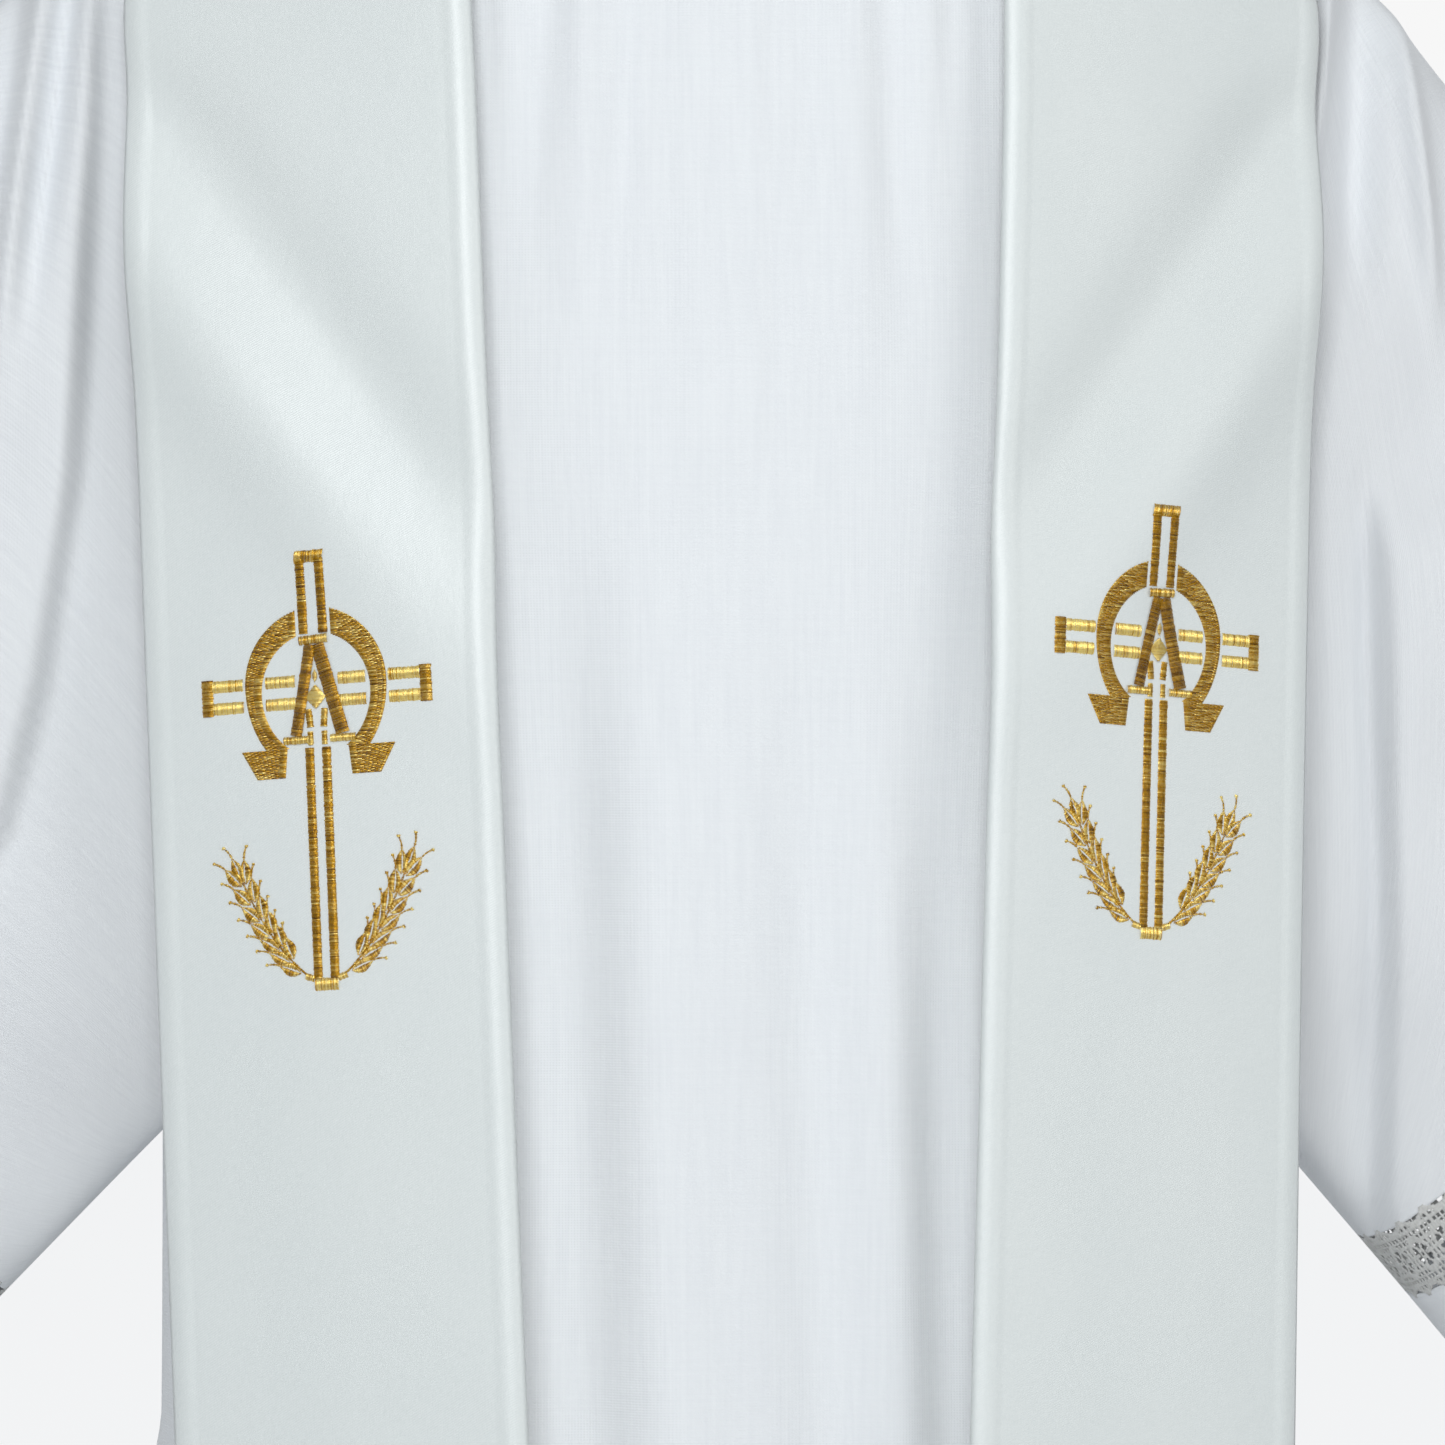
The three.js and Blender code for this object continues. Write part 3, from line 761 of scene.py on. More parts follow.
    def yoke(self, theta: Array, v: Array) -> Array:
        """Points of the yokes, from the neck's oval (v 0) to the yoke seam and armhole (v 1).

        Args:
            theta: direction round the neck in radians, 0 at the middle of the front.
            v: share of the way out.

        Returns:
            The points.
        """
        back = np.cos(theta) < 0
        turned = np.abs(np.arctan2(np.sin(theta), np.abs(np.cos(theta))))
        hand = np.where(np.sin(theta) < 0, -1.0, 1.0)
        corner = math.pi / 4
        neck_drop = np.where(back, self.neck_back, self.neck_front) * np.cos(turned)
        neck_angle = self.angle_of(self.neck_x) * np.sin(turned)
        seam_drop = self.round_drop * np.clip((math.pi / 2 - turned) / corner, 0, 1)
        seam_angle = self.angle_of(self.armhole_x) * np.clip(turned / corner, 0, 1)
        angle = neck_angle + (seam_angle - neck_angle) * v
        drop = neck_drop + (seam_drop - neck_drop) * v
        return self.skin(hand * np.where(back, math.pi - angle, angle), drop)


@dataclass
class AlbBody:
    """The alb's panels, hems, yokes, collar and placket."""

    form: BodyForm
    hem_height: float = 0.04
    yoke_gap: float = 0.0004
    side_top: float = 0.562
    collar_height: float = 0.026
    collar_cloth: float = 0.0022
    hem_cloth: float = 0.0022
    yoke_cloth: float = 0.0012
    strip_cloth: float = 0.0012
    button_cloth: float = 0.0018
    pieces: list[bpy.types.Object] = field(default_factory=list)

    def panel(self, name: str, nodes: tuple[str, ...], start: float, end: float, top: float, low: float,
              across: int, down: int, thickness: float = 0.0008) -> bpy.types.Object:
        """Makes one panel between two section angles and two drops.

        Args:
            name: the piece's name.
            nodes: the frame's nodes that it stands for.
            start: section angle of its first edge.
            end: section angle of its last edge.
            top: drop of its upper edge.
            low: drop of its lower edge.
            across: faces across.
            down: faces down.
            thickness: the cloth's thickness.

        Returns:
            The piece.
        """
        form = self.form

        def at(u: Array, v: Array) -> Array:
            """Points of the panel."""
            return form.cloth(start + (end - start) * u, top + (low - top) * v)

        middle = (top + low) / 2
        spread = form.half_width(np.array(middle)) + form.half_depth(np.array(middle))
        flat = (float(abs(end - start) * spread / 1.86), low - top)
        made = ClothCut(name, at, across, down, flat, Finish.STRAIGHT_COTTON, "alb_cotton",
                        thickness).build()
        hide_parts(*nodes)
        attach(made, "alb")
        self.pieces.append(made)
        return made

    def build(self) -> None:
        """Makes every piece of the body."""
        form = self.form
        arm = form.angle_of(form.armhole_x)
        top = form.round_drop - self.yoke_gap
        hem = form.length - self.hem_height
        both = ("right", "left")
        runs = [
            ("front", both, -arm, arm, top, 220, 205),
            ("back", both, math.pi - arm, math.pi + arm, top, 200, 180),
            ("side", both[:1], arm, math.pi - arm, self.side_top, 60, 110),
            ("side", both[1:], arm - math.pi, -arm, self.side_top, 60, 110),
        ]
        for kind, hands, start, end, high, across, down in runs:
            mark = kind if len(hands) > 1 else f"{kind}_{hands[0]}"
            panels = tuple(f"{kind}_panel_{hand}" for hand in hands)
            bands = tuple(f"{kind}_hem_{hand}" for hand in hands)
            self.panel(f"alb_{mark}_panel", panels, start, end, high, hem, across, down)
            self.panel(f"alb_{mark}_hem", bands, start, end, hem - 0.001, form.length, across, 8,
                       self.hem_cloth)
        self.build_yokes()
        self.build_collar()
        self.build_placket()

    def build_yokes(self) -> None:
        """Makes the four yoke pieces over the shoulders."""
        for name, start, end in [("front_right", 0, 90), ("front_left", -90, 0),
                                 ("back_right", 90, 180), ("back_left", 180, 270)]:
            low, high = math.radians(start), math.radians(end)

            def at(u: Array, v: Array, low: float = low, high: float = high) -> Array:
                """Points of the yoke."""
                return self.form.yoke(low + (high - low) * u, v)

            node = "yoke_" + name
            made = ClothCut("alb_" + node, at, 60, 40, (0.24, 0.13), Finish.STRAIGHT_COTTON,
                            "alb_cotton", self.yoke_cloth).build()
            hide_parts(node)
            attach(made, "alb")
            self.pieces.append(made)

    def build_collar(self) -> None:
        """Makes the low stand collar in two halves, with a rolled upper edge."""
        for hand, start, end in [("right", 1.2, 180), ("left", 180, 358.8)]:
            low, high = math.radians(start), math.radians(end)

            def at(u: Array, v: Array, low: float = low, high: float = high) -> Array:
                """Points of the collar, its foot tucked under the yoke.

                Args:
                    u: share of the way round.
                    v: share of the way down.
                    low: direction of its first end.
                    high: direction of its last end.

                Returns:
                    The points.
                """
                foot = self.form.yoke(low + (high - low) * u, np.full_like(u, -0.05))
                foot[:, 2] += self.collar_height - 0.0008 - (self.collar_height + 0.002) * v
                return foot

            made = ClothCut("alb_collar_" + hand, at, 120, 14, (0.19, 0.029), Finish.STRAIGHT_COTTON,
                            "alb_cotton", self.collar_cloth).build()
            soft = made.modifiers.new("soft_edge", "BEVEL")
            soft.width = 0.0008
            soft.segments = 2
            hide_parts("collar_" + hand)
            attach(made, "alb")
            self.pieces.append(made)

    def build_placket(self) -> None:
        """Makes the two hidden strips and the buttons between them."""
        for node in ("placket_outer_strip", "placket_inner_strip"):
            low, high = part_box(node)
            bm = bmesh.new()
            sheet_map = bm.loops.layers.uv.new("cloth")
            bmesh.ops.create_grid(bm, x_segments=10, y_segments=60, size=0.5, calc_uvs=True)
            for face in bm.faces:
                for loop in face.loops:
                    place = loop.vert.co
                    loop[sheet_map].uv = (place.x * (high.x - low.x), place.y * (high.z - low.z))
            made = piece_from(bm, "alb_" + node, Finish.STRAIGHT_COTTON)
            lean = (high.y - low.y) - 0.0013
            reshape(made, lambda p: stack(
                low.x + (p[:, 0] + 0.5) * (high.x - low.x),
                low.y + 0.0001 + (p[:, 1] + 0.5) * lean,
                low.z + 0.0002 + (p[:, 1] + 0.5) * (high.z - low.z - 0.0004)))
            solid = made.modifiers.new("thickness", "SOLIDIFY")
            solid.thickness = self.strip_cloth
            solid.offset = -1
            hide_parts(node)
            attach(made, "alb")
            self.pieces.append(made)
        for index in (1, 2, 3):
            self.button(f"placket_button_{index}")

    def button(self, node: str) -> None:
        """Makes a small four-hole button with a raised rim.

        Args:
            node: the frame's node that it stands for.
        """
        low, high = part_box(node)
        radius = (high.x - low.x) / 2
        bm = bmesh.new()
        bmesh.ops.create_circle(bm, cap_ends=True, segments=40, radius=radius)
        disc = list(bm.faces)
        for depth, inset in ((0.0003, 0.0010), (-0.0005, 0.0004)):
            bmesh.ops.inset_region(bm, faces=disc, thickness=inset, depth=depth)
        middle = (low + high) / 2
        made = piece_from(bm, "alb_" + node, Finish.PEARL)
        facing = Matrix.Rotation(math.radians(90), 4, "X")
        made.data.transform(Matrix.Translation(middle) @ facing)
        solid = made.modifiers.new("thickness", "SOLIDIFY")
        solid.thickness = self.button_cloth
        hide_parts(node)
        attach(made, "alb")
        self.pieces.append(made)

    def dress(self) -> None:
        """Works out each cloth cut's flat size and logs every piece."""
        for made in self.pieces:
            if "button" in made.name:
                report(made, "button")
                continue
            declare_cloth(made)
            report(made, "alb")


def surface_area(made: bpy.types.Object) -> float:
    """Area of a piece's single layer of cloth in square metres."""
    return sum(face.area for face in made.data.polygons)


def declare_cloth(made: bpy.types.Object) -> None:
    """Works out a cut's flat size from its own cloth coordinates, grown where the cut takes more cloth; the
    size is not kept.

    Args:
        made: the piece.
    """
    places = np.empty(len(made.data.loops) * 2, np.float32)
    made.data.uv_layers["cloth"].data.foreach_get("uv", places)
    places = places.reshape(-1, 2)
    width, length = (float(x) for x in places.max(0) - places.min(0))
    area = surface_area(made)
    if area > width * length:  # a fold or curve takes more cloth than its straight cut
        grow = math.sqrt(area / (width * length)) * 1.001
        width, length = width * grow, length * grow


# ---------------------------------------------------------------- the sleeves


@dataclass
class StepFold:
    """A fold whose outer side lies in front of its inner side, along a line of (x, z) places."""

    line: tuple[tuple[float, float], ...]
    height: float
    width: float
    top: float
    low: float

    def relief(self, out: Array, z: Array) -> Array:
        """How far forward the cloth stands, for distances out from the middle.

        Args:
            out: distances out from the middle.
            z: heights.

        Returns:
            The heights of the relief.
        """
        places = sorted(self.line, key=lambda p: p[1])
        line = np.interp(z, [p[1] for p in places], [p[0] for p in places])
        live = ease(z, self.top + 0.05, self.top) * ease(z, self.low - 0.05, self.low)
        return self.height * live * ease(out - line, -self.width, self.width)


@dataclass
class Crease:
    """A narrow ridge or valley along a straight line of (x, z) places."""

    start: tuple[float, float]
    end: tuple[float, float]
    width: float
    height: float

    def relief(self, out: Array, z: Array) -> Array:
        """How far forward the cloth stands, for distances out from the middle.

        Args:
            out: distances out from the middle.
            z: heights.

        Returns:
            The heights of the relief.
        """
        (x0, z0), (x1, z1) = self.start, self.end
        length = math.hypot(x1 - x0, z1 - z0)
        ax, az = (x1 - x0) / length, (z1 - z0) / length
        along = ((out - x0) * ax + (z - z0) * az) / length
        aside = (out - x0) * -az + (z - z0) * ax
        live = ease(along, -0.12, 0.12) * ease(along, 1.15, 0.7)
        return self.height * live * ridge_line(aside, self.width)


@dataclass
class Sleeve:
    """One wide sleeve with its lace band and cuff."""

    hand: Hand
    form: BodyForm
    droop: float
    steps: tuple[StepFold, ...]
    creases: tuple[Crease, ...]
    width: float = 0.375
    half_depth: float = 0.0593
    length: float = 0.64
    cuff: float = 0.088
    lace: float = 0.037
    shoulder_x: float = 0.2275
    shoulder_z: float = -0.05
    squareness: float = 0.75
    armhole_square: float = 0.12
    tuck: float = 0.007
    armhole_fade: float = 0.16
    cut_length: float = 0.52
    seam: float = 0.002
    lace_cloth: float = 0.0007
    cuff_cloth: float = 0.0016
    pieces: list[bpy.types.Object] = field(default_factory=list)

    def flat_place(self, turn: Array, run: Array) -> tuple[Array, Array]:
        """Places (out, z) in the sleeve's own plane for a turn round it and a run along it.

        Args:
            turn: turns round the sleeve.
            run: distances along it.

        Returns:
            The distances out from the middle, and the heights.
        """
        slope = math.radians(self.droop)
        width = (self.width / 2) * (1 - np.cos(turn))
        out = self.shoulder_x + run * math.cos(slope) - width * math.sin(slope)
        return out, self.shoulder_z - run * math.sin(slope) - width * math.cos(slope)

    def start_run(self, turn: Array) -> Array:
        """Run at which the sleeve starts, tucked a little way inside the body's edge.

        Args:
            turn: turns round the sleeve.

        Returns:
            The runs.
        """
        slope = math.radians(self.droop)
        width = (self.width / 2) * (1 - np.cos(turn))
        edge = self.form.armhole_edge(width / math.cos(slope) - self.shoulder_z)
        return width * math.tan(slope) + (edge - self.tuck - self.shoulder_x) / math.cos(slope)

    def at(self, turn: Array, run: Array) -> Array:
        """Points of the draped sleeve on its own side.

        Args:
            turn: 0 at the top fold, 180 degrees at the underarm, growing round the front.
            run: distance along the top from the shoulder point.

        Returns:
            The points.
        """
        out, z = self.flat_place(turn, run)
        gone = np.clip((run - self.start_run(turn)) / self.armhole_fade, 0, 1) ** 0.8
        power = self.armhole_square + (self.squareness - self.armhole_square) * gone
        swell = np.sin(turn)
        armhole = self.form.armhole_depth(z) - 0.0012
        depth = self.half_depth * gone + armhole * (1 - gone)
        y = -np.sign(swell) * np.abs(swell) ** power * depth
        front = swell > 0
        side = np.abs(swell) ** 0.5
        relief = np.zeros_like(out)
        for fold in (*self.steps, *self.creases):
            relief = relief + fold.relief(out, z)
        ripple = 0.004 * np.sin(34 * run + 3.1 * turn) * ease(run, 0.18, 0.5)
        ripple = ripple + 0.0018 * np.sin(75 * run - 7 * turn)
        y = y - np.where(front, relief * side, 0) - np.sign(swell) * ripple * side
        return stack(self.hand.value * out, y, z)

    def mapped(self, start: Callable[[Array], Array], end: float) -> Surface:
        """A surface over the whole tube between two runs, u round it and v along it.

        Args:
            start: gives the first run for each turn.
            end: the last run.

        Returns:
            The surface.
        """
        sign = self.hand.value

        def surface(u: Array, v: Array) -> Array:
            """Points of the tube, its outside facing out on either side.

            Args:
                u: shares of the way round.
                v: shares of the way along.

            Returns:
                The points.
            """
            turn = (1 - u if sign > 0 else u) * 2 * math.pi
            low = start(turn)
            return self.at(turn, low + (end - low) * v)

        return surface

    def build(self) -> None:
        """Makes the sleeve, its lace and its cuff."""
        word, sign = self.hand.word, self.hand.value
        lace_end = self.length - self.cuff
        lace_start = lace_end - self.lace
        around = 2 * self.width
        body_at = self.mapped(self.start_run, lace_start + self.seam)
        lace_at = self.mapped(lambda t: np.full_like(t, lace_start), lace_end)
        cuff_at = self.mapped(lambda t: np.full_like(t, lace_end - self.seam), self.length)
        body = ClothCut(f"alb_{word}_sleeve", body_at, 230, 130, (around, self.cut_length),
                        Finish.BIAS_COTTON, "alb_cotton").build()
        lace = ClothCut(f"alb_{word}_lace", lace_at, 840, 42, (around, self.lace), Finish.LACE,
                        "lace", self.lace_cloth, self.lace_hole).build()
        cuff = ClothCut(f"alb_{word}_cuff", cuff_at, 230, 18, (around, self.cuff),
                        Finish.BIAS_COTTON, "alb_cotton", self.cuff_cloth).build()
        self.pieces = [body, lace, cuff]
        for made, kind in zip(self.pieces, ("sleeve", "lace", "cuff")):
            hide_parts(f"{word}_{kind}_front", f"{word}_{kind}_back")
            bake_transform(made)

    @staticmethod
    def lace_hole(u: float, v: float) -> bool:
        """Whether the lace is open at a place: eyelets between two solid edges with scallops.

        Args:
            u: share of the way round.
            v: share of the way across the band.

        Returns:
            True where there is a hole.
        """
        repeat = 42
        phase = (u * repeat) % 1.0
        bow = 0.10 * abs(math.cos(math.pi * phase)) ** 1.5
        if v < bow or v > 1 - bow:
            return bow > 0.02
        if v < bow + 0.07 or v > 0.93 - bow:
            return False
        middle = math.hypot(phase - 0.5, (v - 0.5) * 1.7)
        petal = abs(math.sin(3 * math.atan2((v - 0.5) * 1.7, phase - 0.5)))
        if middle < 0.36:
            return middle < 0.06 or (0.12 < middle < 0.30 and petal > 0.45)
        net = math.sin(2 * math.pi * 3 * phase) * math.sin(2 * math.pi * 6 * v)
        return middle > 0.42 and abs(net) > 0.45

    def dress(self) -> None:
        for made in self.pieces:
            declare_cloth(made)
            report(made, "sleeve")


# ---------------------------------------------------------------- the stole


FACE_LIFT = 0.0004  # how far the satin lies out from the middle of the stole's thickness


@dataclass
class StoleForm:
    """The worn shape of one side of the stole, in metres, seen as the right-hand side."""

    form: BodyForm
    hand: Hand
    width: float = 0.155
    inner_x: float = 0.112
    yaw: float = 22.3
    tilt: float = 4.4
    lean: float = 4.0
    standoff: float = 0.012
    lift: float = 0.008
    shoulder_outer: float = 0.204
    back_inner: float = 0.08
    back_outer: float = 0.185
    fall_top: float = 0.16
    fall_length: float = 0.99
    shift: float = 0.01
    roll: float = 0.011
    bend: float = 0.012
    shoulder_share: float = 0.36
    emblem_drop: float = 0.294

    def __post_init__(self) -> None:
        """Works out the fall's own directions and the two edges over the shoulder."""
        turn = (Matrix.Rotation(math.radians(self.yaw), 3, "Z")
                @ Matrix.Rotation(-math.radians(self.tilt), 3, "X")
                @ Matrix.Rotation(math.radians(self.lean), 3, "Y"))
        self.across_way = np.array(turn @ Vector((1, 0, 0)))
        self.down_way = np.array(turn @ Vector((0, 0, -1)))
        self.out_way = np.array(turn @ Vector((0, -1, 0)))
        chest = self.form.half_depth_chest + self.standoff
        self.chest_y = chest
        flare = self.form.depth_flare * (self.fall_top - self.form.round_drop)
        self.top = np.array((self.inner_x, -chest - flare, -self.fall_top))
        self.reach = self.fall_length - self.hand.value * self.shift
        outer_x = self.inner_x + self.width * math.cos(math.radians(self.yaw))
        foot = -self.fall_top
        neck = self.form.neck_x
        self.inner_edge = [(0.0, self.back_inner), (neck - 0.018, self.back_inner * 0.7), (neck + 0.008, 0.0),
                           (self.inner_x - 0.007, -0.1), (self.inner_x, foot)]
        self.outer_edge = [(0.0, self.back_outer), (self.shoulder_outer * 0.7, self.back_outer * 0.7),
                           (self.shoulder_outer, 0.0), (outer_x - 0.01, -0.1), (outer_x, foot)]

    @staticmethod
    def along(edge: list[tuple[float, float]], share: Array) -> Array:
        """Points of a smooth curve through an edge's places, share 0 to 1.

        Args:
            edge: the places that the curve goes through.
            share: shares of the way along.

        Returns:
            The points.
        """
        places = np.array([edge[0], *edge, edge[-1]], float)
        count = len(edge) - 1
        scaled = np.clip(share, 0, 1) * count
        index = np.minimum(scaled.astype(int), count - 1)
        t = (scaled - index)[:, None]
        a, b, c, d = (places[index + k] for k in range(4))
        return 0.5 * (2 * b + (c - a) * t + (2 * a - 5 * b + 4 * c - d) * t ** 2
                      + (3 * b - a - 3 * c + d) * t ** 3)

    def shoulder(self, across: Array, share: Array) -> Array:
        """Points over the shoulder: across 0 to 1, share 0 at the back seam to 1 at the chest.

        Args:
            across: shares of the way across.
            share: shares of the way along.

        Returns:
            The points.
        """
        inner, outer = self.along(self.inner_edge, share), self.along(self.outer_edge, share)
        place = inner + (outer - inner) * across[:, None]
        x, drop = place[:, 0], place[:, 1]
        turn = self.form.turn(drop)
        slope = math.tan(math.radians(self.yaw))
        outside = x - self.inner_x
        softened = (outside + np.sqrt(outside ** 2 + self.bend ** 2)) / 2
        depth = self.chest_y - slope * softened
        flare = self.form.depth_flare * np.maximum(np.abs(drop) - self.form.round_drop, 0)
        z = (self.form.ridge(x) + self.lift) * np.cos(turn) - self.form.fall(drop)
        return stack(x, depth * np.sin(turn) + np.sign(drop) * flare, z)

    def fall(self, across: Array, down: Array) -> Array:
        """Points of the flat fall: across in metres from the inner edge, down in metres from its top."""
        return self.top + across[:, None] * self.across_way + down[:, None] * self.down_way

    def relief(self, across: Array, down: Array) -> Array:
        """How far the satin of the fall stands out from flat.

        Args:
            across: distances from the inner edge.
            down: distances from the fall's top.

        Returns:
            The heights of the relief.
        """
        share = across / self.width
        top_fade = ease(down, -0.02, 0.03)
        valley_line = 1.0 - 4.4 * (down + 0.01)
        sweep = -0.0050 * ridge_line(share - valley_line, 0.17) * ease(down, 0.30, 0.12)
        swell = 0.0070 * ridge_line(share - valley_line - 0.40, 0.20) * ease(down, 0.34, 0.12)
        long_wave = 0.0016 * np.sin(5.2 * down + 2.2 * share + self.hand.value)
        crown = 0.0022 * (1 - (2 * share - 1) ** 2)
        return top_fade * (sweep + swell + long_wave) + crown

    def edge_roll(self, across: Array) -> Array:
        """How far the rolled edges fall back from the face.

        Args:
            across: distances from the inner edge.

        Returns:
            How far back each place lies.
        """
        near = np.minimum(across, self.width - across)
        depth = np.where(across < self.width / 2, 0.42, 0.25)
        inside = np.clip(self.roll - near, 0, self.roll)
        turned = self.roll * depth * (1 - np.sqrt(1 - 0.96 * (inside / self.roll) ** 2))
        seam = 0.00025 * ridge_line(near - self.roll - 0.001, 0.0009)
        plump = 0.0005 * ridge_line(near - 0.6 * self.roll, 0.004)
        return turned + seam - plump

    def surface(self, lift: float, inset: float = 0.0, rolled: bool = True) -> Surface:
        """The whole side as one surface, u across and v from the back seam to the foot of the fall.

        Args:
            lift: how far it lies out from the middle of the stole's thickness.
            inset: how far its edges keep inside the stole's edges.
            rolled: whether the edges roll back.

        Returns:
            The surface, mirrored for the left side.
        """
        upper = self.shoulder_share

        def smooth(u: Array, v: Array) -> Array:
            """Points before any relief.

            Args:
                u: shares of the way across.
                v: shares of the way down.

            Returns:
                The points.
            """
            over = self.shoulder(u, np.clip(v / upper, 0, 1))
            hung = self.fall(u * self.width, (v - upper) / (1 - upper) * self.reach)
            hanging = ease(v, upper - 0.05, upper)[:, None]
            return over * (1 - hanging) + hung * hanging

        def surface(u: Array, v: Array) -> Array:
            """Points with the cloth's relief, on the piece's own side.

            Args:
                u: shares of the way across.
                v: shares of the way down.

            Returns:
                The points.
            """
            across = u if self.hand is Hand.RIGHT else 1 - u
            held = inset / self.width + across * (1 - 2 * inset / self.width)
            points = smooth(held, v)
            normal = normals_of(smooth, held, v)
            down = (v - upper) / (1 - upper) * self.reach
            out = lift + self.relief(held * self.width, down)
            if rolled:
                out = out - self.edge_roll(held * self.width)
            points = points + normal * out[:, None]
            points[:, 0] *= self.hand.value
            return points

        return surface

    def on_face(self, flat: Array) -> Array:
        """Carries flat needlework (x across, y up, z out) onto the satin of the fall.

        Args:
            flat: points measured from the middle of the emblem.

        Returns:
            The points on the stole's face.
        """
        sign = self.hand.value
        centre = self.emblem_drop - sign * self.shift
        across = self.width / 2 + sign * flat[:, 0]
        down = centre - flat[:, 1]
        base = self.fall(across, down)
        out = FACE_LIFT + self.relief(across, down) + flat[:, 2]
        points = base + out[:, None] * self.out_way
        points[:, 0] *= sign
        return points


@dataclass(frozen=True)
class Layer:
    """One layer of the stole: how it lies in the thickness, and how it is cut."""

    name: str
    lift: float
    inset: float
    rolled: bool
    finish: Finish
    across: int
    down: int
    thickness: float
    parts: tuple[str, ...]


LAYERS = (
    Layer("face", FACE_LIFT, 0.0, True, Finish.SATIN, 96, 480, 0.0006, ("shoulder", "fall")),
    Layer("interlining", -0.0012, 0.010, False, Finish.FELT, 20, 160, 0.0006, ("fall",)),
    Layer("lining", -0.0034, 0.0035, False, Finish.LINING, 50, 260, 0.0004, ("shoulder", "fall")),
)


@dataclass
class Stole:
    """One side of the stole: satin face, interlining and lining, from the back seam to the foot."""

    shape: StoleForm
    cut_length: float = 1.55
    pieces: list[bpy.types.Object] = field(default_factory=list)

    def build(self) -> None:
        """Makes the three layers, bending across the chest's hinge line."""
        word, sign = self.shape.hand.word, self.shape.hand.value
        flat = (self.shape.width, self.cut_length)
        for layer in LAYERS:
            at = self.shape.surface(layer.lift, layer.inset, layer.rolled)
            made = ClothCut(f"stole_{layer.name}_{word}", at, layer.across, layer.down, flat, layer.finish,
                            layer.finish.value.name, layer.thickness).build()
            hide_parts(*(f"stole_{part}_{layer.name}_{word}" for part in layer.parts))
            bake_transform(made)
            self.pieces.append(made)

    def dress(self) -> None:
        for made in self.pieces:
            declare_cloth(made)
            report(made, "stole")


# ---------------------------------------------------------------- the embroidery


